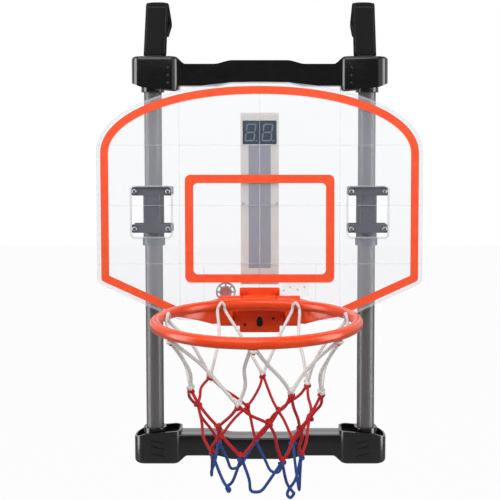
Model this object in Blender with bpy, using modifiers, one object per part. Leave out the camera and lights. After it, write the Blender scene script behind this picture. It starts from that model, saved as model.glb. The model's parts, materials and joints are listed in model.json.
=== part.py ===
"""Over-door basketball hoop with an electronic score display, in Blender 4.5.

Metres, X to the right, -Y to the player, +Z up.
The origin is on the door's top edge, midway between the two hooks, at the door's front face.
"""

import math

import bmesh
import bpy
from mathutils import Matrix, Vector

FIT = 0.0003  # gap between pieces that touch
RUN = 0.00015  # radial clearance of a turning pin

# Frame: two tubes between two moulded bars
TUBE_X = 0.133
TUBE_Y = -0.023
TUBE_RADIUS = 0.011
TUBE_WALL = 0.0009
FRAME_TOP = -0.067
FRAME_BOTTOM = -0.575
SOCKET_FLOOR = 0.019
SOCKET_DEPTH = 0.044
SOCKET_WALL = 0.0033

BAR_WALL = 0.0024
HUB_CENTRE = TUBE_X - 0.0042
HUB_WIDTH = 0.0586
HUB_DEPTH = 0.038
HUB_RIM_OUTER = 0.029
HUB_RIM_INNER = 0.0415
BEAM_DEPTH = 0.030
BEAM_NEAR = 0.0095
BEAM_FAR = 0.0365
BEAM_RISE = 0.0045
BEAM_RISE_FROM = 0.056
BEAM_RISE_TO = 0.034

SCREW_RADIUS = 0.0014
SCREW_HEAD_RADIUS = 0.0028
SCREW_HEAD = 0.002
BOSS_RADIUS = 0.0042

# Door hooks: bent spring steel strips in padded sleeves
HOOK_X = TUBE_X - 0.0025
HOOK_STRIP_WIDTH = 0.019
HOOK_STRIP = 0.002
HOOK_PAD_WIDTH = 0.027
HOOK_PAD = 0.0052
HOOK_PIVOT_Z = FRAME_TOP - 0.0115
HOOK_PIVOT_Y = TUBE_Y - 0.002
HOOK_PIN_RADIUS = 0.002
HOOK_EYE_RADIUS = 0.0042
HOOK_BEND = (0.007, 0.0028)
HOOK_REAR = (0.047, -0.020)
HOOK_TIP = (0.012, -0.037)
HOOK_BEND_RADIUS = 0.004
PAD_CLEAR_OF_PIVOT = 0.0145

# Board
BOARD_FRONT = TUBE_Y - TUBE_RADIUS - 0.012
BOARD_THICK = 0.003
BOARD_HALF_WIDTH = 0.200
BOARD_TOP = -0.099
BOARD_SHOULDER = -0.187
BOARD_ARCH = 0.95
BOARD_CORNER = -0.346
BOARD_BOTTOM = -0.392
BOARD_BOTTOM_HALF = BOARD_HALF_WIDTH * 0.5

# Clamps that carry the board on the tubes
CLAMP_TOP = BOARD_CORNER + 0.1185
CLAMP_BOTTOM = CLAMP_TOP - 0.0735
CLAMP_WIDTH = 0.049
CLAMP_FLANGE = 0.003
CLAMP_FLANGE_HEIGHT = 0.0105
CLAMP_LOWER = CLAMP_TOP - 0.046
CLAMP_SLEEVE_WALL = 0.0018
CLAMP_COLLAR = 0.010
CLAMP_SCREW_X = 0.0205
CLAMP_RUN = 0.0002

# Hoop
RING_RADIUS = 0.1085
RING_TUBE = 0.006
RING_CENTRE = RING_RADIUS + 0.0375
RING_Z = BOARD_BOTTOM + 0.0275
BARREL_Y = BOARD_FRONT - 0.0205
BARREL_RADIUS = 0.0067
BARREL_HALF = 0.0492
LUG_HALF = 0.0205
PIN_RADIUS = 0.002
PLATE_HALF = 0.0247
PLATE_TOP = RING_Z + 0.0135
PLATE_BOTTOM = RING_Z - 0.042
PLATE_THICK = 0.003
PLATE_BOSS = 0.006
WING_HALF = 0.0485
WING_TOP = RING_Z - 0.0155
WING_BOTTOM = RING_Z - 0.034
WING_STEP = 0.0002
ARM_IN = 0.032
SKIRT_BOTTOM = RING_Z - 0.0215
SKIRT_WALL = 0.003
NET_LOOPS = 7
PEG_RADIUS = 0.0016
PEG_LENGTH = 0.0115

# Net
NET_TOP = RING_Z - 0.010
NET_WHITE_END = NET_TOP - 0.0645
NET_RED_END = NET_TOP - 0.1355
NET_BOTTOM = NET_TOP - 0.1785
NET_BOTTOM_RADIUS = 0.049
NET_THICK = 0.003
NET_FLARE = 2.1

# Score unit behind the board; the row of cells sets its length
CELL_RADIUS = 0.00725
CELL_LENGTH = 0.0505
CELL_COUNT = 3
CELL_PIP = 0.0027
CELL_Y = BOARD_FRONT + 0.0155
SPRING_ROOM = 0.0105
CASE_WIDTH = 0.047
CASE_DEPTH = 0.0225
CASE_WALL = 0.0016
CASE_BOTTOM = PLATE_TOP + 0.003
DOOR_SPLIT = CASE_BOTTOM + SPRING_ROOM + CELL_COUNT * (CELL_LENGTH + FIT) + 0.0041
CASE_TOP = DOOR_SPLIT + 0.0445
CASE_SCREW_X = 0.0185
DOOR_SCREW_X = 0.0165
WINDOW_WIDTH = 0.0416
WINDOW_HEIGHT = 0.0292
WINDOW_CENTRE = DOOR_SPLIT + 0.0205
DISPLAY_DEPTH = 0.008
SWITCH_Z = DOOR_SPLIT + 0.021
SWITCH_TRAVEL = 0.004
SWITCH_KNOB = 0.002

# Speaker and sensor board beside the bracket
SPEAKER_X = -0.0421
SPEAKER_Z = RING_Z + 0.007
SPEAKER_RADIUS = 0.0105
SPEAKER_DEPTH = 0.0045
SENSOR_X = 0.0437
SENSOR_Z = RING_Z + 0.010
SENSOR_WIDTH = 0.034
SENSOR_HEIGHT = 0.0165

BOARD_BACK = BOARD_FRONT + BOARD_THICK
SLEEVE_RADIUS = TUBE_RADIUS + CLAMP_RUN + CLAMP_SLEEVE_WALL


def clear_scene():
    for item in list(bpy.data.objects):
        bpy.data.objects.remove(item, do_unlink=True)


def new_collection(name):
    made = bpy.data.collections.new(name)
    bpy.context.scene.collection.children.link(made)
    return made


def srgb(text):
    values = [int(text[i : i + 2], 16) / 255 for i in (0, 2, 4)]
    return [v / 12.92 if v < 0.04045 else ((v + 0.055) / 1.055) ** 2.4 for v in values]


def material(name, colour, roughness, metallic=0.0, alpha=1.0):
    made = bpy.data.materials.get(name)
    if made:
        return made
    made = bpy.data.materials.new(name)
    made.use_nodes = True
    shader = made.node_tree.nodes["Principled BSDF"]
    shader.inputs["Base Color"].default_value = (*srgb(colour), 1)
    shader.inputs["Roughness"].default_value = roughness
    shader.inputs["Metallic"].default_value = metallic
    shader.inputs["Alpha"].default_value = alpha
    made.diffuse_color = (*srgb(colour), alpha)
    return made


def black_plastic():
    return material("black_plastic", "1c1b1e", 0.3)


def grey_plastic():
    return material("grey_plastic", "7a7d83", 0.4)


def orange_plastic():
    return material("orange_plastic", "f4511e", 0.35)


def clear_plastic():
    return material("clear_plastic", "f2f6f8", 0.08, alpha=0.3)


def case_plastic():
    return material("case_plastic", "d9d2cb", 0.4)


def tube_steel():
    return material("tube_steel", "6c6a69", 0.35, 1.0)


def bright_steel():
    return material("bright_steel", "c4c6c9", 0.25, 1.0)


def circuit_green():
    return material("circuit_green", "2f5a3c", 0.5)


def link(item, collection, finish=None):
    for owner in list(item.users_collection):
        owner.objects.unlink(item)
    collection.objects.link(item)
    if finish:
        item.data.materials.clear()
        item.data.materials.append(finish)
    return item


def smooth(item, angle=40):
    item.data.shade_smooth()
    item.data.set_sharp_from_angle(angle=math.radians(angle))
    return item


def applied_mesh(item, weld=1e-6):
    """The object's evaluated shape as a plain mesh object with its placing baked in."""
    graph = bpy.context.evaluated_depsgraph_get()
    graph.update()
    mesh = bpy.data.meshes.new_from_object(item.evaluated_get(graph))
    mesh.transform(item.matrix_world)
    made = bpy.data.objects.new(item.name + "_solid", mesh)
    shape = bmesh.new()
    shape.from_mesh(mesh)
    bmesh.ops.remove_doubles(shape, verts=shape.verts, dist=weld)
    bmesh.ops.recalc_face_normals(shape, faces=shape.faces)
    shape.to_mesh(mesh)
    shape.free()
    name = item.name
    bpy.data.objects.remove(item, do_unlink=True)
    made.name = name
    PARTS.objects.link(made)
    return made


def box(name, low, high):
    bpy.ops.mesh.primitive_cube_add(size=1)
    made = bpy.context.object
    made.name = name
    size = [b - a for a, b in zip(low, high)]
    middle = [(a + b) / 2 for a, b in zip(low, high)]
    made.data.transform(Matrix.Translation(middle) @ Matrix.Diagonal((*size, 1)))
    return link(made, PARTS)


TURN = {
    "x": Matrix.Rotation(math.pi / 2, 4, "Y"),
    "y": Matrix.Rotation(-math.pi / 2, 4, "X"),
    "z": Matrix.Identity(4),
}


def rod(name, axis, centre, radius, low, high, sides=24):
    """A cylinder along a world axis between two stations on that axis."""
    bpy.ops.mesh.primitive_cylinder_add(vertices=sides, radius=radius, depth=high - low)
    made = bpy.context.object
    made.name = name
    place = Vector(centre)
    place["xyz".index(axis)] = (low + high) / 2
    made.data.transform(Matrix.Translation(place) @ TURN[axis])
    return link(made, PARTS)


def turned(name, axis, centre, profile, sides=32):
    """A solid of revolution: profile points are (radius, station), top to bottom on its outer side."""
    mesh = bpy.data.meshes.new(name)
    points = [(r, 0, z) for r, z in profile]
    edges = [(i, i + 1) for i in range(len(points) - 1)]
    if profile[0][0] > 0:
        edges.append((len(points) - 1, 0))
    mesh.from_pydata(points, edges, [])
    item = bpy.data.objects.new(name, mesh)
    PARTS.objects.link(item)
    sweep = item.modifiers.new("turn", "SCREW")
    sweep.steps = sides
    sweep.render_steps = sides
    sweep.use_merge_vertices = True
    sweep.merge_threshold = 1e-6
    sweep.use_normal_calculate = True
    item.matrix_world = Matrix.Translation(centre) @ TURN[axis]
    bpy.context.view_layer.update()
    return applied_mesh(item)


def rounded(points, steps=4):
    """A closed outline from (u, v, radius) corners, each rounded by an arc."""
    outline = []
    count = len(points)
    for i, (u, v, radius) in enumerate(points):
        here = Vector((u, v))
        before = Vector(points[i - 1][:2]) - here
        after = Vector(points[(i + 1) % count][:2]) - here
        if radius <= 0:
            outline.append((u, v))
            continue
        half = before.angle(after) / 2
        reach = radius / math.tan(half)
        centre = here + (before.normalized() + after.normalized()).normalized() * radius / math.sin(half)
        first = here + before.normalized() * reach - centre
        last = here + after.normalized() * reach - centre
        sweep = first.angle_signed(last)
        for k in range(steps + 1):
            turn = -sweep * k / steps
            spoke = Matrix.Rotation(turn, 2) @ first
            outline.append((centre.x + spoke.x, centre.y + spoke.y))
    return outline


def rounded_box(left, right, bottom, top, radius, steps=3):
    corners = [(left, bottom, radius), (right, bottom, radius), (right, top, radius), (left, top, radius)]
    return rounded(corners, steps)


PLANE = {
    "xy": Matrix.Identity(4),
    "xz": Matrix.Rotation(math.pi / 2, 4, "X"),
    "yz": Matrix(((0, 0, 1, 0), (1, 0, 0, 0), (0, 1, 0, 0), (0, 0, 0, 1))),
}


def plate(name, plane, outline, low, high):
    """A flat outline given depth along the plane's normal, from station low to high."""
    curve = bpy.data.curves.new(name, "CURVE")
    curve.dimensions = "2D"
    curve.fill_mode = "BOTH"
    curve.extrude = (high - low) / 2
    spline = curve.splines.new("POLY")
    spline.points.add(len(outline) - 1)
    for point, (u, v) in zip(spline.points, outline):
        point.co = (u, v, 0, 1)
    spline.use_cyclic_u = True
    item = bpy.data.objects.new(name, curve)
    PARTS.objects.link(item)
    middle = (low + high) / 2
    shift = {"xy": (0, 0, middle), "xz": (0, middle, 0), "yz": (middle, 0, 0)}[plane]
    item.matrix_world = Matrix.Translation(shift) @ PLANE[plane]
    bpy.context.view_layer.update()
    return applied_mesh(item)


def combine(item, tool, operation="DIFFERENCE"):
    modifier = item.modifiers.new(operation.lower(), "BOOLEAN")
    modifier.operation = operation
    modifier.solver = "EXACT"
    modifier.object = tool
    link(tool, CUTTERS)
    tool.hide_render = True
    tool.display_type = "WIRE"
    return item


def cut(item, *tools):
    for tool in tools:
        combine(item, tool)
    return item


def join(item, *tools):
    for tool in tools:
        combine(item, tool, "UNION")
    return item


def keep(item, *tools):
    for tool in tools:
        combine(item, tool, "INTERSECT")
    return item


def manifold_cuts(item):
    """The exact solver leaves open edges on this piece, so its cuts use the manifold one."""
    for modifier in item.modifiers:
        modifier.solver = "MANIFOLD"
    return item


def finished(item, name, finish, angle=40, origin=None):
    """Bakes the modifiers, names the piece, and puts its origin on its joint's axis."""
    made = applied_mesh(item)
    made.name = name
    made.data.name = name
    link(made, PARTS, finish)
    smooth(made, angle)
    if origin:
        made.data.transform(Matrix.Translation(-Vector(origin)))
        made.location = origin
    return made


def screw(name, x, z, head_y, tip_y, head_radius=SCREW_HEAD_RADIUS, radius=SCREW_RADIUS):
    """A pan head screw along Y, from the top of its head to its tip."""
    way = 1 if tip_y > head_y else -1
    profile = [
        (0, 0),
        (head_radius * 0.7, 0),
        (head_radius, SCREW_HEAD * 0.4),
        (head_radius, SCREW_HEAD),
        (radius, SCREW_HEAD),
        (radius, abs(tip_y - head_y)),
        (0, abs(tip_y - head_y)),
    ]
    stations = [(r, -s) for r, s in profile]
    item = turned(name, "z", (0, 0, 0), stations, 8)
    turn = Matrix.Rotation(math.pi / 2 * way, 4, "X")
    item.data.transform(Matrix.Translation((x, head_y, z)) @ turn)
    return finished(item, name, bright_steel())


def bar_level(flip, v):
    """World height of a station v, measured in from the bar's flat end."""
    return FRAME_BOTTOM + v if flip else FRAME_TOP - v


def bar_plan(name, inset, low, high):
    """Hub, beam, hub, seen from above."""
    hub_out = HUB_CENTRE + HUB_WIDTH / 2 - inset
    hub_in = HUB_CENTRE - HUB_WIDTH / 2 + inset
    hub_y = HUB_DEPTH / 2 - inset
    beam_y = BEAM_DEPTH / 2 - inset
    corner = 0.014 - inset
    quarter = [
        (hub_out, hub_y, corner),
        (hub_in, hub_y, 0.010 - inset),
        (hub_in, beam_y, 0),
    ]
    rear = quarter + [(-u, v, r) for u, v, r in reversed(quarter)]
    front = [(u, -v, r) for u, v, r in reversed(rear)]
    shifted = [(u, v + TUBE_Y, r) for u, v, r in rear + front]
    return plate(name, "xy", rounded(shifted, 3), low, high)


def bar_face(name, flip, inset, low, high):
    """The bar's front outline: slanted rims at the hubs and a raised middle."""
    hub_out = HUB_CENTRE + HUB_WIDTH / 2 - inset
    hub_in = HUB_CENTRE - HUB_WIDTH / 2 + inset
    near = BEAM_NEAR + inset
    far = BEAM_FAR - inset
    flat_side = [
        (hub_out, inset, 0.004),
        (hub_in + 0.004, inset, 0.006),
        (hub_in - 0.004, near, 0.004),
        (BEAM_RISE_FROM, near, 0.02),
        (BEAM_RISE_TO, near - BEAM_RISE, 0.02),
    ]
    rim_side = [
        (BEAM_RISE_TO, far - BEAM_RISE, 0.02),
        (BEAM_RISE_FROM, far, 0.02),
        (hub_in - 0.003, far, 0.002),
        (hub_in + 0.003, HUB_RIM_INNER - inset, 0.002),
        (hub_out, HUB_RIM_OUTER - inset, 0.002),
    ]
    left_flat = [(-u, v, r) for u, v, r in reversed(flat_side)]
    left_rim = [(-u, v, r) for u, v, r in reversed(rim_side)]
    ring = flat_side + left_flat + left_rim + rim_side
    placed = [(u, bar_level(flip, v), r) for u, v, r in ring]
    return plate(name, "xz", rounded(placed, 2), low, high)


def bar_screw_places():
    """One screw inside each hub and one in each half of the beam."""
    places = ((HUB_CENTRE - 0.0203, 0.025), (0.046, 0.0215))
    return [(side * x, v) for side in (-1, 1) for x, v in places]


def rear_of(x):
    half = HUB_DEPTH if abs(x) > HUB_CENTRE - HUB_WIDTH / 2 else BEAM_DEPTH
    return TUBE_Y + half / 2


def span(flip, v0, v1):
    return sorted((bar_level(flip, v0), bar_level(flip, v1)))


def bar_half(name, flip, rear):
    """One half shell of a bar, split on the plane through the tubes."""
    reach = HUB_DEPTH
    low, high = span(flip, -0.01, 0.06)
    shell = bar_plan("bar_plan", 0, low, high)
    keep(shell, bar_face("bar_face", flip, 0, TUBE_Y - reach, TUBE_Y + reach))
    hollow = bar_plan("hollow_plan", BAR_WALL, low, high)
    keep(hollow, bar_face("hollow_face", flip, BAR_WALL, TUBE_Y - reach, TUBE_Y + reach))
    cut(shell, applied_mesh(hollow))
    for side in (-1, 1):
        x = side * TUBE_X
        bottom, top = span(flip, SOCKET_FLOOR - BAR_WALL, SOCKET_DEPTH)
        bore_low, bore_high = span(flip, SOCKET_FLOOR, SOCKET_DEPTH + 0.01)
        join(shell, rod("socket", "z", (x, TUBE_Y, 0), TUBE_RADIUS + SOCKET_WALL, bottom, top, 24))
        cut(shell, rod("tube_bore", "z", (x, TUBE_Y, 0), TUBE_RADIUS + RUN * 2, bore_low, bore_high, 24))
        if not flip:
            hook_cheeks(shell, side)
    for x, v in bar_screw_places():
        z = bar_level(flip, v)
        depth = HUB_DEPTH if rear_of(x) > TUBE_Y + BEAM_DEPTH / 2 else BEAM_DEPTH
        start = TUBE_Y - depth / 2 + BAR_WALL / 2
        end = TUBE_Y + depth / 2 - BAR_WALL / 2
        join(shell, rod("screw_boss", "y", (x, 0, z), BOSS_RADIUS, start, end, 12))
        seat = rear_of(x) - SCREW_HEAD - FIT
        cut(shell, rod("screw_hole", "y", (x, 0, z), SCREW_RADIUS + FIT, start + 0.004, seat + 0.001, 8))
        cut(shell, rod("head_recess", "y", (x, 0, z), SCREW_HEAD_RADIUS + FIT, seat, seat + 0.01, 12))
    wide = HUB_CENTRE + HUB_WIDTH
    if rear:
        off = box("front_side", (-wide, TUBE_Y - reach, low), (wide, TUBE_Y + FIT / 2, high))
    else:
        off = box("rear_side", (-wide, TUBE_Y - FIT / 2, low), (wide, TUBE_Y + reach, high))
    cut(shell, off)
    return finished(shell, name, black_plastic(), 30)


def hook_cheeks(shell, side):
    """Two ribs that hold the hook's pin, and the slot the hook leaves through."""
    x = side * HOOK_X
    wall = 0.0026
    for way in (-1, 1):
        inner = x + way * (HOOK_STRIP_WIDTH / 2 + FIT)
        low, high = sorted((inner, inner + way * wall))
        front = TUBE_Y - HUB_DEPTH / 2 + BAR_WALL / 2
        rear = TUBE_Y + HUB_DEPTH / 2 - BAR_WALL / 2
        bottom = bar_level(False, SOCKET_FLOOR - BAR_WALL / 2)
        rib = box("cheek", (low, front, bottom), (high, rear, FRAME_TOP - BAR_WALL / 2))
        join(shell, rib)
    half = HOOK_STRIP_WIDTH / 2 + FIT + wall
    pin = (0, HOOK_PIVOT_Y, HOOK_PIVOT_Z)
    cut(shell, rod("pin_bore", "x", pin, HOOK_PIN_RADIUS + RUN, x - half - 0.001, x + half + 0.001, 16))
    slot = HOOK_STRIP_WIDTH / 2 + FIT
    front = HOOK_PIVOT_Y - 0.0065
    rear = HOOK_PIVOT_Y + 0.0115
    cut(shell, box("hook_slot", (x - slot, front, HOOK_PIVOT_Z), (x + slot, rear, FRAME_TOP + 0.01)))


def bar_screws(name, flip):
    for i, (x, v) in enumerate(bar_screw_places()):
        screw(f"{name}_{i + 1}", x, bar_level(flip, v), rear_of(x), TUBE_Y - 0.007)


def tube(name, side):
    top = bar_level(False, SOCKET_FLOOR) - FIT
    bottom = bar_level(True, SOCKET_FLOOR) + FIT
    inner = TUBE_RADIUS - TUBE_WALL
    profile = [(TUBE_RADIUS, top), (TUBE_RADIUS, bottom), (inner, bottom), (inner, top)]
    item = turned(name, "z", (side * TUBE_X, TUBE_Y, 0), profile, 32)
    return finished(item, name, tube_steel())


def hook_path():
    return [(HOOK_PIVOT_Y, HOOK_PIVOT_Z), HOOK_BEND, HOOK_REAR, HOOK_TIP]


def ribbon(path, half, bend, start=0.0, end=0.0):
    """Outline of a strip that follows a bent path, with rounded bends of the same centre."""
    points = [Vector(p) for p in path]
    points[0] += (points[1] - points[0]).normalized() * start
    points[-1] += (points[-1] - points[-2]).normalized() * end
    sides = []
    for way in (1, -1):
        row = []
        for i, here in enumerate(points):
            if i == 0:
                along = (points[1] - here).normalized()
                row.append((*(here + Vector((-along.y, along.x)) * half * way), 0))
                continue
            if i == len(points) - 1:
                along = (here - points[i - 1]).normalized()
                row.append((*(here + Vector((-along.y, along.x)) * half * way), 0))
                continue
            a = (here - points[i - 1]).normalized()
            b = (points[i + 1] - here).normalized()
            normal_a = Vector((-a.y, a.x))
            normal_b = Vector((-b.y, b.x))
            mitre = (normal_a + normal_b).normalized()
            reach = half / mitre.dot(normal_a)
            turn = a.x * b.y - a.y * b.x
            radius = bend + half if turn * way < 0 else bend - half
            row.append((*(here + mitre * reach * way), radius))
        sides.append(row)
    return rounded(sides[0] + sides[1][::-1], 6)


def door_hook(name, side):
    x = side * HOOK_X
    half = HOOK_STRIP_WIDTH / 2
    outline = ribbon(hook_path(), HOOK_STRIP / 2, HOOK_BEND_RADIUS)
    item = plate(name, "yz", outline, x - half, x + half)
    pivot = (x, HOOK_PIVOT_Y, HOOK_PIVOT_Z)
    join(item, rod("eye", "x", pivot, HOOK_EYE_RADIUS, x - half, x + half, 20))
    cut(item, rod("eye_bore", "x", pivot, HOOK_PIN_RADIUS + RUN, x - half - 0.001, x + half + 0.001, 16))
    return finished(item, name, bright_steel(), 30, pivot)


def hook_pad(name, side):
    """A sewn sleeve pushed over the strip, open at its lower end."""
    x = side * HOOK_X
    half = HOOK_PAD_WIDTH / 2
    inner = HOOK_STRIP_WIDTH / 2 + FIT
    outline = ribbon(hook_path(), HOOK_PAD / 2, HOOK_BEND_RADIUS, PAD_CLEAR_OF_PIVOT, 0.002)
    item = plate(name, "yz", outline, x - half, x + half)
    slit = ribbon(hook_path(), HOOK_STRIP / 2 + FIT, HOOK_BEND_RADIUS, PAD_CLEAR_OF_PIVOT - 0.001, FIT)
    cut(item, plate("sleeve_slit", "yz", slit, x - inner, x + inner))
    pivot = (x, HOOK_PIVOT_Y, HOOK_PIVOT_Z)
    return finished(item, name, material("black_webbing", "242326", 0.85), 30, pivot)


def hook_pin(name, side):
    x = side * HOOK_X
    half = HOOK_STRIP_WIDTH / 2 + 0.0024
    pivot = (x, HOOK_PIVOT_Y, HOOK_PIVOT_Z)
    item = rod(name, "x", pivot, HOOK_PIN_RADIUS, x - half, x + half, 16)
    return finished(item, name, bright_steel())


def board_outline():
    """Arched top, straight sides, slanted lower corners and a flat bottom."""
    arch_steps = 14
    right = []
    for k in range(arch_steps + 1):
        angle = math.pi / 2 * k / arch_steps
        across = BOARD_HALF_WIDTH * math.sin(angle) ** BOARD_ARCH
        drop = (BOARD_TOP - BOARD_SHOULDER) * (1 - abs(math.cos(angle)) ** BOARD_ARCH)
        right.append((across, BOARD_TOP - drop, 0))
    right.append((BOARD_HALF_WIDTH, BOARD_CORNER, 0.009))
    right.append((BOARD_BOTTOM_HALF, BOARD_BOTTOM, 0.006))
    left = [(-u, v, r) for u, v, r in reversed(right[1:])]
    return rounded(right + left, 5)


def clamp_screw_places(side):
    upper = CLAMP_TOP - CLAMP_FLANGE_HEIGHT / 2
    lower = CLAMP_LOWER - CLAMP_FLANGE_HEIGHT / 2
    x = side * TUBE_X
    return [(x + way * CLAMP_SCREW_X, z) for way in (-1, 1) for z in (upper, lower)]


def plate_screw_places():
    """Two near the plate's top corners and one in each wing."""
    top = PLATE_TOP - 0.005
    wing = (WING_TOP + WING_BOTTOM) / 2
    corner = PLATE_HALF - 0.0052
    outer = ARM_IN - 0.004
    return [(-corner, top), (corner, top), (-outer, wing), (outer, wing)]


def speaker_slots():
    """A ring of short slots in front of the cone."""
    slots = []
    for k in range(8):
        angle = 2 * math.pi * (k + 0.5) / 8
        low = (-0.0024, BOARD_FRONT - 0.002, SPEAKER_RADIUS - 0.0031)
        piece = box("slot", low, (0.0024, BOARD_BACK + 0.002, SPEAKER_RADIUS - 0.0003))
        piece.data.transform(Matrix.Rotation(angle, 4, "Y"))
        piece.data.transform(Matrix.Translation((SPEAKER_X, 0, SPEAKER_Z)))
        slots.append(piece)
    return slots


def backboard():
    item = plate("backboard", "xz", board_outline(), BOARD_FRONT, BOARD_BACK)
    past = (BOARD_FRONT - 0.002, BOARD_BACK + 0.002)
    holes = [place for side in (-1, 1) for place in clamp_screw_places(side)]
    holes += plate_screw_places()
    for x, z in holes:
        cut(item, rod("board_hole", "y", (x, 0, z), SCREW_RADIUS + FIT, *past, 8))
    cut(item, *speaker_slots())
    return finished(item, "backboard", clear_plastic(), 30)


def clamp_strip(name, side, top, front, rear):
    x = side * TUBE_X
    half = CLAMP_WIDTH / 2
    outline = rounded_box(x - half, x + half, top - CLAMP_FLANGE_HEIGHT, top, 0.0015, 2)
    return plate(name, "xz", outline, front, rear)


def clamp_half(name, side, rear):
    """A half sleeve around the tube, with two flanges that the screws pass through."""
    x = side * TUBE_X
    centre = (x, TUBE_Y, 0)
    collar_radius = SLEEVE_RADIUS + 0.001
    collar_top = CLAMP_BOTTOM + CLAMP_COLLAR
    profile = [
        (0, CLAMP_TOP),
        (SLEEVE_RADIUS, CLAMP_TOP),
        (SLEEVE_RADIUS, collar_top),
        (collar_radius, collar_top - 0.001),
        (collar_radius, CLAMP_BOTTOM),
        (0, CLAMP_BOTTOM),
    ]
    item = turned(name, "z", centre, profile, 28)
    if rear:
        strips = (TUBE_Y - 0.001, TUBE_Y + FIT / 2 + CLAMP_FLANGE)
    else:
        strips = (BOARD_BACK + FIT, BOARD_BACK + FIT + CLAMP_FLANGE)
        pad = 0.009
        low = (x - pad, strips[0] + 0.0005, CLAMP_LOWER - CLAMP_FLANGE_HEIGHT + 0.001)
        join(item, box("pad", low, (x + pad, TUBE_Y - 0.008, CLAMP_TOP - 0.001)))
    for top in (CLAMP_TOP, CLAMP_LOWER):
        join(item, clamp_strip("strip", side, top, *strips))
    for sx, sz in clamp_screw_places(side):
        if not rear:
            post = rod("post", "y", (sx, 0, sz), 0.0034, strips[0] + 0.001, TUBE_Y + 0.001, 10)
            join(item, post)
        hole = rod("hole", "y", (sx, 0, sz), SCREW_RADIUS + FIT, BOARD_FRONT, TUBE_Y + 0.01, 8)
        cut(item, hole)
    bore = rod("bore", "z", centre, TUBE_RADIUS + CLAMP_RUN, CLAMP_BOTTOM - 0.01, CLAMP_TOP + 0.01, 32)
    cut(item, bore)
    wide = CLAMP_WIDTH
    reach = SLEEVE_RADIUS * 2
    near, far = (-reach, FIT / 2) if rear else (-FIT / 2, reach)
    low = (x - wide, TUBE_Y + near, CLAMP_BOTTOM - 0.01)
    cut(item, box("other_half", low, (x + wide, TUBE_Y + far, CLAMP_TOP + 0.01)))
    manifold_cuts(item)
    return finished(item, name, grey_plastic(), 30)


def clamp_screws(name, side):
    head = BOARD_FRONT - SCREW_HEAD - FIT
    tip = TUBE_Y + FIT / 2 + CLAMP_FLANGE + 0.001
    for i, (x, z) in enumerate(clamp_screw_places(side)):
        screw(f"{name}_{i + 1}", x, z, head, tip)


def keyhole_outline():
    """Round below for a screw's head, narrow above for its shank."""
    slot = 0.0022
    head = 0.0039
    top = RING_Z - 0.0225
    waist = RING_Z - 0.028
    low = RING_Z - 0.035
    half = [(slot, top, 0.002), (head, waist, 0.001), (head, low, 0.0037)]
    return rounded([(-u, v, r) for u, v, r in half[:1]] + half + [(-u, v, r) for u, v, r in half[:0:-1]], 4)


def hoop_bracket():
    """Plate on the board's front, with a middle lug for the hinge pin and two stop wings."""
    back = BOARD_FRONT - FIT
    front = back - PLATE_THICK
    outline = rounded_box(-PLATE_HALF, PLATE_HALF, PLATE_BOTTOM, PLATE_TOP, 0.0022)
    item = plate("hoop_bracket", "xz", outline, front, back)
    wings = rounded_box(-WING_HALF, WING_HALF, WING_BOTTOM, WING_TOP, 0.0015)
    join(item, plate("wings", "xz", wings, front + WING_STEP, back - WING_STEP))
    arm_top = RING_Z + BARREL_RADIUS * 0.9
    arm_bottom = RING_Z - BARREL_RADIUS * 0.9
    arm = LUG_HALF - 0.0005
    centre = (0, BARREL_Y, RING_Z)
    join(item, box("arm", (-arm, BARREL_Y, arm_bottom), (arm, front + 0.001, arm_top)))
    join(item, rod("lug", "x", centre, BARREL_RADIUS, -LUG_HALF, LUG_HALF, 28))
    cut(item, rod("pin_bore", "x", centre, PIN_RADIUS + RUN, -PLATE_HALF, PLATE_HALF, 16))
    cut(item, plate("keyhole", "xz", keyhole_outline(), front - 0.002, back + 0.002))
    for x, z in plate_screw_places():
        join(item, rod("boss", "y", (x, 0, z), BOSS_RADIUS * 0.8, back - PLATE_BOSS, back - 0.001, 12))
        ends = (back - PLATE_BOSS + 0.0006, back + 0.002)
        cut(item, rod("hole", "y", (x, 0, z), SCREW_RADIUS + FIT, *ends, 8))
    return finished(item, "hoop_bracket", orange_plastic(), 30)


def bracket_screws():
    """Screws from the board's back into blind bosses on the plate."""
    head = BOARD_BACK + FIT + SCREW_HEAD
    for i, (x, z) in enumerate(plate_screw_places()):
        screw(f"bracket_screw_{i + 1}", x, z, head, BOARD_FRONT - FIT - PLATE_BOSS + 0.001)


def hinge_pin():
    centre = (0, BARREL_Y, RING_Z)
    half = BARREL_HALF + 0.0006
    item = rod("hinge_pin", "x", centre, PIN_RADIUS, -half, half, 16)
    return finished(item, "hinge_pin", bright_steel())


def rim_web():
    """Level web from the barrel to the back of the ring, with an opening behind the lug."""
    ring_y = BOARD_FRONT - RING_CENTRE
    rear_ring = []
    steps = 10
    spread = math.radians(50)
    for k in range(steps + 1):
        angle = -spread + 2 * spread * k / steps
        rear_ring.append((RING_RADIUS * math.sin(angle), ring_y + RING_RADIUS * math.cos(angle), 0))
    rear_edge = BARREL_Y
    outline = [(-BARREL_HALF, rear_edge, 0)] + rear_ring + [(BARREL_HALF, rear_edge, 0)]
    return plate("web", "xy", rounded(outline), RING_Z - 0.0022, RING_Z + 0.0035)


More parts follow.
